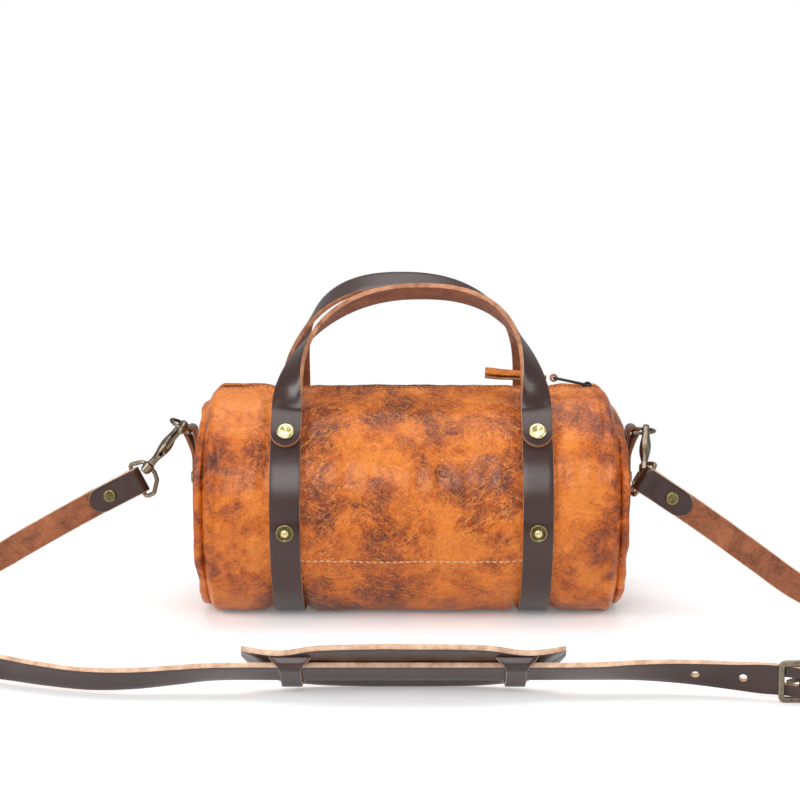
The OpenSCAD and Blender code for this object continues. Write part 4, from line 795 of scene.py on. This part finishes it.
lace = joined("zip_lace", [tube, ringlet])
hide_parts("zipper_lace")
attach(lace, "zip_lace")


# End panels: a disc of the same leather at each end, eased to the body with the seam turned out,
# so a puffy gathered roll with a few folds stands round it and the middle bows outwards a little.
ROUNDS = 240
ROLL_X, ROLL_R, ROLL = 138.2, 71.05, 3.05
DISC_X, DISC_R, BOW = 138.9, 67.6, 6.2


def end_point(side, n, ring_x, ring_r, puff, turn):
    """A point of a panel's outer face. n is the ring's number and puff its share of the rim's folds."""
    spread = Vector((cos(turn), sin(turn), 0))
    fold = noise(spread * 3.4 + Vector((0, 0, side * 3.0)))
    crimp = noise(spread * 8.0 + Vector((0, 0, side * 6.0)))
    dent = noise(spread * ring_r * 0.03 + Vector((0, 0, side * 9.0)))
    stand = (fold * 2.4 + crimp * 0.6 + 0.5) * puff
    crease = 1.5 * ease(noise(spread * 3.1 + Vector((0, 0, side * 12.0))), -0.1, 0.25) * hump(n, 7.0, 1.3)
    slack = dent * (1 - puff) * ease(ring_r, 8.0, 20.0) * ease(68.0 - ring_r, 2.0, 14.0)
    x = ring_x + 0.8 * stand - crease + slack
    r = ring_r + 0.35 * stand + 0.3 * dent * puff
    return settled(side * max(x, 135.3), r * cos(turn), max(BARREL_Z + r * sin(turn), 1.4))


turns = [radians(360.0 * j / ROUNDS) for j in range(ROUNDS)]
roll_turns = [radians(200 - 16 * k) for k in range(15)]
rings = [(ROLL_X + ROLL * cos(turn), ROLL_R + ROLL * sin(turn), 1.0) for turn in roll_turns]
disc_shares, back_shares = [1 - k / 14.0 for k in range(1, 14)], [1 - k / 8.0 for k in range(8)]
rings += [(DISC_X + BOW * (1 - share**2.4), DISC_R * share, 0.25 * share) for share in disc_shares]
back = [(136.8 + 5.9 * (1 - share**2.4), 66.5 * share) for share in back_shares]
outer = [ROUNDS * n for n in range(len(rings))]
inner = [0] + [ROUNDS * (len(rings) + n) for n in range(len(back))]
hub = inner[-1] + ROUNDS
for side, name, node in ((-1, "end_left", "end_panel_left"), (1, "end_right", "end_panel_right")):
    points = [end_point(side, n, *ring, turn) for n, ring in enumerate(rings) for turn in turns]
    points += [settled(side * x, r * cos(turn), BARREL_Z + r * sin(turn)) for x, r in back for turn in turns]
    points += [settled(side * x, 0, BARREL_Z) for x in (DISC_X + BOW, DISC_X + BOW - WALL)]
    faces = [quad for a, b in zip(outer, outer[1:]) for quad in band(a, b, ROUNDS)]
    faces += [quad for a, b in zip(inner, inner[1:]) for quad in band(b, a, ROUNDS)]
    faces += [(outer[-1] + j, outer[-1] + (j + 1) % ROUNDS, hub) for j in range(ROUNDS)]
    faces += [(inner[-1] + (j + 1) % ROUNDS, inner[-1] + j, hub + 1) for j in range(ROUNDS)]
    end = mesh_piece(name, points, faces, [pull_up])
    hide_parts(node)
    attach(end, "bag")


# Body straps: two belts of the dark bridle leather, 20 mm wide, that run down the front, under
# the bag, where they are its feet, and up the back. The handles' ends are riveted over their tops.
STRAP_X = 82.0
BELT_WIDE = 20.0
BELT_MID = 77.75
BELT_TOP = 51.0
FOOT = 1.6

for side, name, node in ((-1, "belt_left", "body_strap_left"), (1, "belt_right", "body_strap_right")):
    line = []
    for i in range(121):
        turn = radians(BELT_TOP - (180.0 + 2 * BELT_TOP) * i / 120.0)
        z = BARREL_Z + BELT_MID * sin(turn)
        if z < FOOT + 3.0:
            z = FOOT + 3.0 * exp((z - FOOT - 3.0) / 3.0)
        line.append(Vector((side * STRAP_X, -BELT_MID * cos(turn), z)))
    stations = []
    for i, here in enumerate(line):
        along = line[min(i + 1, 120)] - line[max(i - 1, 0)]
        outward = Vector((0, along.z, -along.y)).normalized()
        if outward.dot(here - Vector((here.x, 0, BARREL_Z))) < 0:
            outward = -outward
        stations.append((here, along, outward, 0.5 * BELT_WIDE))
    belt = swept_strap(name, stations, STRAP_THICK, [bridle, rubbed_edge, flesh])
    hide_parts(node)
    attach(belt, "bag")


# Grab handles: two straps of the same leather. Each starts flat on the body with a round riveted
# end, creases just above the rivet, and turns through a quarter as it rises, so that the top runs
# edge-on to the hand.
CREASE_TURN = radians(52)
CREASE_R = 82.7
LEAN = radians(62)
SQUARED = 2 / 2.35
UPPER_RIVET = 40.0
HANDLE_MID = 81.1
HANDLE_HALF = 0.5 * BELT_WIDE
CREASE = Vector((0, -CREASE_R * cos(CREASE_TURN), BARREL_Z + CREASE_R * sin(CREASE_TURN)))


def leaning(x, rise, out):
    """A direction told by the arch's own plane, which leans forward."""
    return Vector((x, rise * cos(LEAN) - out * sin(LEAN), rise * sin(LEAN) + out * cos(LEAN)))


def arch_xy(a, reach, skew):
    """The arch's middle line, a degrees from its right foot: a squared half circle, pushed aside."""
    c, s = cos(radians(a)), sin(radians(a))
    x = (1 if c >= 0 else -1) * STRAP_X * abs(c) ** SQUARED + skew * s * s
    return Vector((x, 0.3 + reach * max(s, 0.0) ** SQUARED))


def arch_station(a, reach, skew):
    """The strap at that place: flat at the foot, edge-on at the top."""
    place = arch_xy(a, reach, skew)
    ahead = (arch_xy(min(a + 1, 180), reach, skew) - arch_xy(max(a - 1, 0), reach, skew)).normalized()
    turn = radians(90 * (1 - (1 - min(a, 180 - a) / 90) ** 3.5))
    grain_side = leaning(sin(turn) * ahead.y, -sin(turn) * ahead.x, cos(turn))
    centre = CREASE + leaning(place.x, place.y, -0.5 * STRAP_THICK * cos(turn))
    return [centre, leaning(ahead.x, ahead.y, 0), grain_side, HANDLE_HALF]


def plate_station(turn, x, direction):
    """The strap where it lies on the drum, with a round end below the rivet."""
    t = radians(turn)
    arc = HANDLE_MID * radians(turn - UPPER_RIVET)
    half = HANDLE_HALF if arc > 0 else sqrt(max(HANDLE_HALF * HANDLE_HALF - arc * arc, 0.3))
    return [Vector((x, -HANDLE_MID * cos(t), BARREL_Z + HANDLE_MID * sin(t))),
            Vector((0, sin(t), cos(t))) * direction, Vector((0, -cos(t), sin(t))), half]


round_end = [HANDLE_HALF * sin(radians(k)) for k in (90, 84, 76, 66, 55, 43, 30, 16, 0)]
plate_turns = [UPPER_RIVET - degrees(arc / HANDLE_MID) for arc in round_end] + [42.0, 44.0, 46.0, 48.0, 49.5, 50.7]
foot_turns = [0.35, 0.8, 1.6, 2.6, 4, 6, 8, 10, 12.5]
arch_turns = foot_turns + [15 + 2.5 * k for k in range(61)] + [180 - a for a in reversed(foot_turns)]
for side, name, nodes_for, body, reach, skew in (
    (-1, "handle_front_strap", ("handle_front", "handle_ends_front"), "front_handle", 86.0, 7.0),
    (1, "handle_rear_strap", ("handle_rear", "handle_ends_rear"), "rear_handle", 93.0, -7.0),
):
    stations = [plate_station(t, STRAP_X, 1) for t in plate_turns]
    stations += [arch_station(a, reach, skew) for a in arch_turns]
    stations += [plate_station(t, -STRAP_X, -1) for t in reversed(plate_turns)]
    if side > 0:
        flip = Matrix.Diagonal((1, -1, 1))
        stations = [[flip @ p, flip @ t, flip @ g, h] for p, t, g, h in stations]
    handle = swept_strap(name, stations, STRAP_THICK, [bridle, rubbed_edge, flesh])
    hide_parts(*nodes_for)
    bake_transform(handle)


# Rivets: on top, a bright dished brass cap on each handle end. Lower down, a flat burr with a
# hammered post through it. Both go through belt and body to a plain head inside.
brass, tree, at = finish_named("bright_brass")
# Solid brass polished by wear: pale yellow, clean reflections, faint scratches 2 mm long.
cloud = add(tree, "ShaderNodeTexNoise", {"Vector": at, "Scale": 400.0, "Detail": 5.0, "Roughness": 0.7})
tone = add(tree, "ShaderNodeMix", {"Factor": cloud.outputs["Fac"], 6: linear("#CDBB78"), 7: linear("#F5EBBE")},
           data_type="RGBA")
gloss = add(tree, "ShaderNodeMapRange", {"Value": cloud.outputs["Fac"], "To Min": 0.2, "To Max": 0.38})
bump = add(tree, "ShaderNodeBump", {"Strength": 0.12, "Distance": 0.0002, "Height": cloud.outputs["Fac"]})
skin = add(tree, "ShaderNodeBsdfPrincipled", {"Base Color": tone.outputs[2], "Metallic": 1.0,
                                              "Roughness": gloss.outputs[0], "Normal": bump.outputs[0]})
add(tree, "ShaderNodeOutputMaterial", {"Surface": skin.outputs[0]})


def plated(name, hollow, worn):
    """Brass plate darkened in a bath and rubbed back: dark in the hollows, pale on what stands out."""
    made, tree, at = finish_named(name)
    cloud = add(tree, "ShaderNodeTexNoise", {"Vector": at, "Scale": 260.0, "Detail": 6.0, "Roughness": 0.7})
    shape = add(tree, "ShaderNodeNewGeometry")
    ridges = add(tree, "ShaderNodeMapRange", {"Value": shape.outputs["Pointiness"], "From Min": 0.48, "From Max": 0.57,
                                              "To Min": 0.0, "To Max": 0.45})
    share = add(tree, "ShaderNodeMath", {0: cloud.outputs["Fac"], 1: ridges.outputs[0]}, operation="ADD",
                use_clamp=True)
    tone = add(tree, "ShaderNodeValToRGB", {"Fac": share.outputs[0]})
    set_stops(tone, (0.3, hollow), (0.85, worn))
    gloss = add(tree, "ShaderNodeMapRange", {"Value": cloud.outputs["Fac"], "To Min": 0.24, "To Max": 0.42})
    bump = add(tree, "ShaderNodeBump", {"Strength": 0.1, "Distance": 0.0002, "Height": cloud.outputs["Fac"]})
    skin = add(tree, "ShaderNodeBsdfPrincipled", {"Base Color": tone.outputs["Color"], "Metallic": 1.0,
                                                  "Roughness": gloss.outputs[0], "Normal": bump.outputs[0]})
    add(tree, "ShaderNodeOutputMaterial", {"Surface": skin.outputs[0]})
    return made


# Hooks, rings and buckle: nickel-brown plate. Flat rivets: the same bath on yellower brass.
old_brass = plated("antique_brass", "#2B241F", "#8F8371")
olive_brass = plated("olive_brass", "#35301C", "#958A5C")

seat_tree = bpy.data.node_groups.new("rivets_on_seats", "GeometryNodeTree")
seat_sockets = {}
for label, kind in (("Geometry", "NodeSocketGeometry"), ("Rivet", "NodeSocketObject"),
                    ("Finish", "NodeSocketMaterial")):
    seat_sockets[label] = seat_tree.interface.new_socket(label, in_out="INPUT", socket_type=kind)
seat_tree.interface.new_socket("Geometry", in_out="OUTPUT", socket_type="NodeSocketGeometry")
given = seat_tree.nodes.new("NodeGroupInput")
axis = add(seat_tree, "GeometryNodeInputNamedAttribute", {"Name": "axis"}, data_type="FLOAT_VECTOR")
upright = add(seat_tree, "FunctionNodeAlignRotationToVector", {"Vector": axis.outputs[0]}, axis="Z")
spun = add(seat_tree, "FunctionNodeRandomValue", {"Min": 0.0, "Max": 6.28, "Seed": 3}, data_type="FLOAT")
spin = add(seat_tree, "FunctionNodeAxisAngleToRotation", {"Axis": (0.0, 0.0, 1.0)})
seat_tree.links.new(next(s for s in spun.outputs if s.enabled), spin.inputs["Angle"])
turn_in_seat = add(seat_tree, "FunctionNodeRotateRotation", {0: upright.outputs[0], 1: spin.outputs[0]},
                   rotation_space="LOCAL")
rivet = add(seat_tree, "GeometryNodeObjectInfo", {"Object": given.outputs["Rivet"]})
set_in = add(seat_tree, "GeometryNodeInstanceOnPoints", {
    "Points": given.outputs["Geometry"], "Instance": rivet.outputs["Geometry"], "Rotation": turn_in_seat.outputs[0]})
real = add(seat_tree, "GeometryNodeRealizeInstances", {0: set_in.outputs[0]})
coated = add(seat_tree, "GeometryNodeSetMaterial", {0: real.outputs[0], "Material": given.outputs["Finish"]})
seat_tree.links.new(coated.outputs[0], seat_tree.nodes.new("NodeGroupOutput").inputs[0])


def turned(name, profile, finish, sides=36):
    """One rivet part on a lathe: a profile of (radius, height) round the Z axis, a little uneven."""
    turns = [2 * pi * j / sides for j in range(sides)]
    rings = []
    for r, h in profile:
        uneven = [r * (1.0 + 0.025 * noise(Vector((cos(t), sin(t), h)))) for t in turns]
        rings.append([(near * cos(t), near * sin(t), h) for near, t in zip(uneven, turns)])
    return stacked(name, rings, [finish])


def seated(name, seats, profile, finish, node, sides=36):
    """Copies of one turned part on its seats of (foot, axis), standing for a node of the bag's body."""
    shape = turned(name + "_shape", profile, finish, sides)
    mesh = bpy.data.meshes.new(name)
    mesh.from_pydata([tuple(c * MM for c in foot) for foot, _ in seats], [], [])
    axes = mesh.attributes.new("axis", "FLOAT_VECTOR", "POINT")
    axes.data.foreach_set("vector", [c for _, axis in seats for c in axis])
    made = bpy.data.objects.new(name, mesh)
    bpy.context.scene.collection.objects.link(made)
    setting = made.modifiers.new("setting", "NODES")
    setting.node_group = seat_tree
    setting[seat_sockets["Rivet"].identifier] = shape
    setting[seat_sockets["Finish"].identifier] = finish
    settle(made)
    bpy.data.objects.remove(shape)
    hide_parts(node)
    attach(made, "bag")
    return made


def on_barrel(x, turn, radius, side=-1):
    """A place on the drum and the way out from it. side is -1 in front and 1 behind."""
    t = radians(turn)
    way = Vector((0, side * cos(t), sin(t)))
    return Vector((x, 0, BARREL_Z)) + way * radius, way


LOWER_RIVET = -8.0
HANDLE_TOP_R, BELT_TOP_R = 82.75, 79.4
upper = [on_barrel(x, UPPER_RIVET, HANDLE_TOP_R, side) for side in (-1, 1) for x in (-STRAP_X, STRAP_X)]
lower = [on_barrel(x, LOWER_RIVET, BELT_TOP_R, side) for side in (-1, 1) for x in (-STRAP_X, STRAP_X)]
dished_cap = [(5.3, 0.0), (5.75, 0.25), (5.9, 0.6), (5.75, 1.0), (5.2, 1.45), (4.5, 1.72), (3.8, 1.75), (3.1, 1.5),
              (2.3, 1.2), (1.3, 1.05), (0.8, 0.8), (0.2, 0.7)]
post = [(2.3, 0.9), (2.6, 1.1), (2.65, 1.5), (2.3, 2.0), (1.7, 2.35), (0.9, 2.5), (0.3, 2.5)]
burr = [(5.4, 0.0), (5.8, 0.2), (5.8, 0.8), (5.5, 1.15), (5.05, 1.15), (4.7, 0.7), (3.4, 0.6), (2.8, 0.75), (2.3, 0.8)]
seated("dished_rivets", upper, dished_cap, brass, "handle_rivets")
seated("hammered_posts", lower, post, brass, "strap_rivets", 24)
seated("rivet_burrs", lower, burr, olive_brass, "strap_rivet_burrs")
finish_nodes(brass, "handle_rivet_backs")


# End tabs: a strip of the bridle leather at each end, folded over the straight side of a D-shaped
# ring of wire and riveted through the end panel. Both cut edges face the front and the back.
def bent_leaf(name, origin, away, aside, centreline, half, thick, finishes, round_end=0.0, flare=None, corner=0.4,
              flip=1):
    """A strip bent in a plane: its centreline as (away, aside) points, its grain on the outside."""
    line = smooth_line([(u, v, 0) for u, v in centreline], 0.9)
    axle = away.cross(aside)
    left = [0.0]
    for a, b in zip(line, line[1:]):
        left.append(left[-1] + (b - a).length)
    stations = []
    for i, here in enumerate(line):
        ahead = line[min(i + 1, len(line) - 1)] - line[max(i - 1, 0)]
        along = (away * ahead.x + aside * ahead.y).normalized()
        to_end = left[-1] - left[i]
        wide = half + (flare(left[i], to_end) if flare else 0.0)
        if to_end < round_end:
            wide = max(half - round_end + sqrt(max(round_end**2 - (round_end - to_end) ** 2, 0.0)), 0.5)
        stations.append((origin + away * here.x + aside * here.y, along, along.cross(axle) * flip, wide))
    return swept_strap(name, stations, thick, finishes, corner)


LEFTWARD, RIGHTWARD = Vector((-1, 0, 0)), Vector((1, 0, 0))
UPWARD, BACKWARD = Vector((0, 0, 1)), Vector((0, 1, 0))
tab_line = [(146.45, 79), (146.45, 90), (146.45, 102), (146.6, 110), (147.2, 115.5), (148.05, 119)]
tab_line += [(151.5 + 3.05 * cos(radians(k)), 121 + 3.05 * sin(radians(k))) for k in range(165, -31, -15)]
tab_line += [(152.6, 116.4), (150.7, 111.5), (149.2, 107), (148.68, 103), (148.65, 98), (148.65, 88), (148.65, 79)]
for outward, name, node in ((LEFTWARD, "tab_strip_left", "tab_left"), (RIGHTWARD, "tab_strip_right", "tab_right")):
    tab = bent_leaf(name, Vector(), outward, UPWARD, tab_line, 9.5, 2.2, [bridle, flesh, flesh], round_end=4.0,
                    flip=-1)
    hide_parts(node)
    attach(tab, "bag")
flat_cap = [(3.9, 0.0), (4.25, 0.25), (4.35, 0.8), (4.2, 1.25), (3.8, 1.6), (3.3, 1.7), (2.6, 1.58), (1.4, 1.5),
            (0.3, 1.48)]
seated("tab_caps", [(Vector((side * 149.85, 0, 89)), Vector((side, 0, 0))) for side in (-1, 1)], flat_cap, olive_brass,
       "tab_rivets")
finish_nodes(old_brass, "tab_rivet_backs", "ring_left", "ring_right")


# Snap hooks: a cast body with a round hook, slotted for the sprung lever that closes it, and a stem
# that turns in the collar of the wire eye. The eye holds the strap by its straight side.
LEFT_EYE, RIGHT_EYE = Vector((-187, -11, 88)), Vector((154.5, -49.4, 95))
LEFT_SLOPE, RIGHT_SLOPE = radians(27.5), radians(34)
HOOK_R, HOOK_Z = 5.7, 34
STEM = ((-4.3, 0.8), (-4.2, 2.6), (-3.5, 2.85), (-3.1, 2.7), (-3.0, 2.1), (2.9, 2.1))
CAST = [(0, 3.1, 2.7, 2.4), (0.1, 4.2, 3.0, 2.5), (0.3, 6, 2.7, 2.2), (0.5, 9, 3.1, 2.3), (0.5, 12, 3.9, 2.8),
        (0.2, 15, 4.7, 3.4), (-0.4, 18, 5.2, 3.8), (-0.9, 20.5, 5.3, 3.9), (-1.8, 23, 4.6, 3.6), (-3.2, 26, 3.3, 3.0),
        (-4.6, 29, 2.4, 2.5), (-5.4, 32, 1.8, 2.3), (-HOOK_R, HOOK_Z, 1.7, 2.2)]
CAST += [(HOOK_R * cos(radians(k)), HOOK_Z + HOOK_R * sin(radians(k)), 1.7, 2.2, 180 - k) for k in range(165, 1, -15)]
CAST += [(5.75, 33.6, 1.35, 1.85, 180), (HOOK_R, 33.2, 0.7, 1.1, 180)]


def squared_ring(centre, across, flank, half, deep, square, sides=20):
    """A ring of points: an ellipse at square 1, ever nearer to a rectangle below it."""
    ring = []
    for k in range(sides):
        c, s = cos(2 * pi * k / sides), sin(2 * pi * k / sides)
        ring.append(centre + across * half * (1 if c >= 0 else -1) * abs(c) ** square
                    + flank * deep * (1 if s >= 0 else -1) * abs(s) ** square)
    return ring


def hook_ring(seat, x, z, half, deep, lean=0, square=0.72):
    """One section of a hook that stands on its seat of (collar, front, flank, up)."""
    collar, front, flank, up = seat
    across = front * cos(radians(lean)) - up * sin(radians(lean))
    return squared_ring(collar + front * x + up * z, across, flank, half, deep, square)


for name, node, body, eye, aim, bar, opens in (
    ("snap_left", "snap_hook_left", "left_snap", LEFT_EYE, Vector((0.65, 0, 0.76)),
     Vector((-sin(LEFT_SLOPE), 0, cos(LEFT_SLOPE))), Vector((0.3, -0.9, 0))),
    ("snap_right", "snap_hook_right", "right_snap", RIGHT_EYE, Vector((0.12, 0.82, 0.56)),
     Vector((sin(RIGHT_SLOPE), 0, cos(RIGHT_SLOPE))), Vector((0, 0.6, -0.8))),
):
    up = aim.normalized()
    out_way = (up - bar * up.dot(bar)).normalized()
    front = (opens - up * opens.dot(up)).normalized()
    seat = (eye + out_way * 10.6 + bar * 5.0, front, up.cross(front), up)
    stem = [hook_ring(seat, 0, z, r, r, square=1.0) for z, r in STEM]
    cast = [hook_ring(seat, *row) for row in CAST]
    hook = joined(name, [stacked(name + "_stem", stem, [old_brass]), stacked(name + "_cast", cast, [old_brass])])
    lever_slot = [hook_ring(seat, 3.2, z, 5.1, 1.0, square=0.05) for z in (12.4, 33.0)]
    cut_away(hook, stacked("lever_slot", lever_slot, [old_brass]))
    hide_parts(node)
    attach(hook, body)
finish_nodes(old_brass, "snap_trigger_left", "snap_trigger_right", "snap_pin_left", "snap_pin_right", "snap_eye_left",
             "snap_eye_right")


# Folded ends of the strap: each length turns round the straight side of its eye and comes back on
# the camera's side, grain out, with a round end and one flat rivet through both leaves.
LEAVES_MEET = 12.5


def fold_line(main_end, return_end, bar_r, rest=1.6):
    """Centreline of a strap folded round a bar, as (away from the bar, aside), main leaf first."""
    r = bar_r + 0.5 * STRAP_THICK
    near = [(LEAVES_MEET, rest + 0.02)]
    near += [(u, rest + share * (r - rest)) for u, share in ((9, 0.18), (5.5, 0.55), (2.5, 0.88))]
    bend = [(r * cos(radians(k)), r * sin(radians(k))) for k in range(90, 271, 20)]
    flat_out = [(u, rest) for u in (main_end, 0.5 * (main_end + LEAVES_MEET))]
    flat_back = [(u, -rest) for u in (0.5 * (LEAVES_MEET + return_end), return_end)]
    return flat_out + near + bend + [(u, -v) for u, v in reversed(near)] + flat_back


# The folds and the keeper ride what the record says that their nodes ride.
fold_bodies = {n: b for b, ns in frame["record"]["behaviour"]["bodies"].items() for n in ns}
chapes = []
for name, node, eye, slope, side in (("fold_left", "chape_left", LEFT_EYE, LEFT_SLOPE, -1),
                                     ("fold_right", "chape_right", RIGHT_EYE, RIGHT_SLOPE, 1)):
    down = Vector((side * cos(slope), 0, -sin(slope)))
    fold = bent_leaf(name, eye, down, BACKWARD, fold_line(30.25, 36.0, 1.6), 9.0, STRAP_THICK, leathers, round_end=9.0,
                     corner=0.85)
    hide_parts(node)
    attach(fold, fold_bodies[node])
    chapes.append((fold, eye + down * 21.0))
seated("fold_caps", [(spot + Vector((0, -3.3, 0)), Vector((0, -1, 0))) for _, spot in chapes]
       + [(spot + Vector((0, 3.3, 0)), Vector((0, 1, 0))) for _, spot in chapes], flat_cap, olive_brass, "chape_rivets")


# Buckle: a squared frame of flat cast bars with a round heel bar, a prong on the heel bar, and the
# short strap folded round it, riveted twice. A keeper of thin leather holds the long strap's tip.
FRAME_LONG, FRAME_HALF, FRAME_CORNER, FRAME_TILT = 22.0, 10.9, 2.4, 4.9
frame_path = []
for x, y, dx, dy in ((0, -1, 1, 1), (1, -1, -1, 1), (1, 1, -1, -1), (0, 1, 1, -1)):
    for k in range(5):
        first, last = 1 - sin(radians(22.5 * k)), 1 - cos(radians(22.5 * k))
        ahead, aside = (last, first) if dx * dy > 0 else (first, last)
        along = FRAME_LONG * x + FRAME_CORNER * dx * ahead
        frame_path.append(Vector((along, FRAME_HALF * y + FRAME_CORNER * dy * aside,
                                  3.3 - FRAME_TILT * along / FRAME_LONG)))
normal = Vector((FRAME_TILT, 0, FRAME_LONG)).normalized()
rings = []
for i, here in enumerate(frame_path):
    along = (frame_path[(i + 1) % len(frame_path)] - frame_path[i - 1]).normalized()
    heel = ease(here.x, 17.0, 21.5)
    ring = squared_ring(here, along.cross(normal).normalized(), normal, 1.75 - 0.35 * heel, 1.2 + 0.2 * heel,
                        0.55 + 0.45 * heel, 16)
    rings.append([by_buckle(p.x, p.z, p.y) for p in ring])
buckle = stacked("buckle_bars", rings, [old_brass], closed=True)
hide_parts("buckle_frame")
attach(buckle, "buckle")
finish_nodes(old_brass, "buckle_prong", "buckle_rivets")

buckle_fold = bent_leaf("buckle_fold", by_buckle(22, -1.6), buckle_along, buckle_out, fold_line(17.9, 44.0, 1.5), 9.0,
                        STRAP_THICK, leathers, round_end=9.0)
cut_holes(buckle_fold, [(by_buckle(20.3, -1.6), buckle_out, buckle_along, 10.0)], 8.0, 1.5)
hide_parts("buckle_chape")
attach(buckle_fold, fold_bodies["buckle_chape"])
keeper_half = [(0.05, -6.0), (4, -6.0), (8.2, -6.0), (9.6, -5.6), (10.2, -4.2), (10.2, 0), (10.2, 4.6), (9.6, 6.0),
               (8.2, 6.45)]
keeper_line = keeper_half + [(0, 6.45)] + [(-u, v) for u, v in reversed(keeper_half)]
keeper_loop = bent_leaf("keeper_loop", by_buckle(48, 0), buckle_up, buckle_out, keeper_line, 4.0, 1.8, leathers,
                        corner=0.35)
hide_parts("keeper")
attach(keeper_loop, fold_bodies["keeper"])


# Shoulder pad: a long leaf of the same leather, pointed at both ends and curled up there. Two
# bridges cut from its own leather cross in front of the strap, which slides through them.
PAD_PLACE = Vector((-4.5, -226, 14.7))
PAD_LEAN = radians(50)
PAD_UP = Vector((0, -sin(PAD_LEAN), cos(PAD_LEAN)))
PAD_OUT = Vector((0, -cos(PAD_LEAN), -sin(PAD_LEAN)))
PAD_HALF_LONG, PAD_HALF_WIDE = 92.5, 25.0


def pad_point(s, v, layer):
    """A point of the pad: s runs from end to end and v from edge to edge, both from -1 to 1."""
    taper = max(1 - abs(s) ** 3.4, 0.0) ** 0.8
    curl = 9.0 * (max(abs(s) - 0.72, 0.0) / 0.28) ** 2
    dip = 1.3 * hump(abs(s), 0.69, 0.1) * max(v, 0.0)
    up = PAD_HALF_WIDE * (0.12 + 0.88 * taper) * v - dip * 1.6 + 0.4 * noise(Vector((s * 4, v, 1)))
    out = -2.0 - curl - 3.3 * layer + (0.5 * noise(Vector((s * 5, v * 2, 7))) + 0.2 * abs(v)) * (1 - layer * 0.5)
    return PAD_PLACE + RIGHTWARD * PAD_HALF_LONG * s + PAD_UP * up + PAD_OUT * min(out, -1.9)


pad_leaf = shell("pad_leaf", [-1 + i / 60.0 for i in range(121)], [-1 + j / 12.0 for j in range(25)], pad_point,
                 leathers, (0, 2, 1))
bridge_half = [(14.5, -2.4), (13.9, -0.6), (13.2, 1.4), (12.0, 2.9), (10.2, 3.45), (5, 3.5)]
bridge_line = bridge_half + [(0, 3.5)] + [(-u, v) for u, v in reversed(bridge_half)]
bridges = [bent_leaf("bridge", PAD_PLACE + RIGHTWARD * x, PAD_UP, PAD_OUT, bridge_line, 5.8, 2.1, leathers,
                     flare=lambda done, left: 6.0 * exp(-((done / 4.5) ** 2)) + 2.0 * exp(-((left / 3.0) ** 2)))
           for x in (-63.5, 63.5)]
pad = joined("strap_pad", [pad_leaf] + bridges)
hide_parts("shoulder_pad")
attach(pad, "pad")
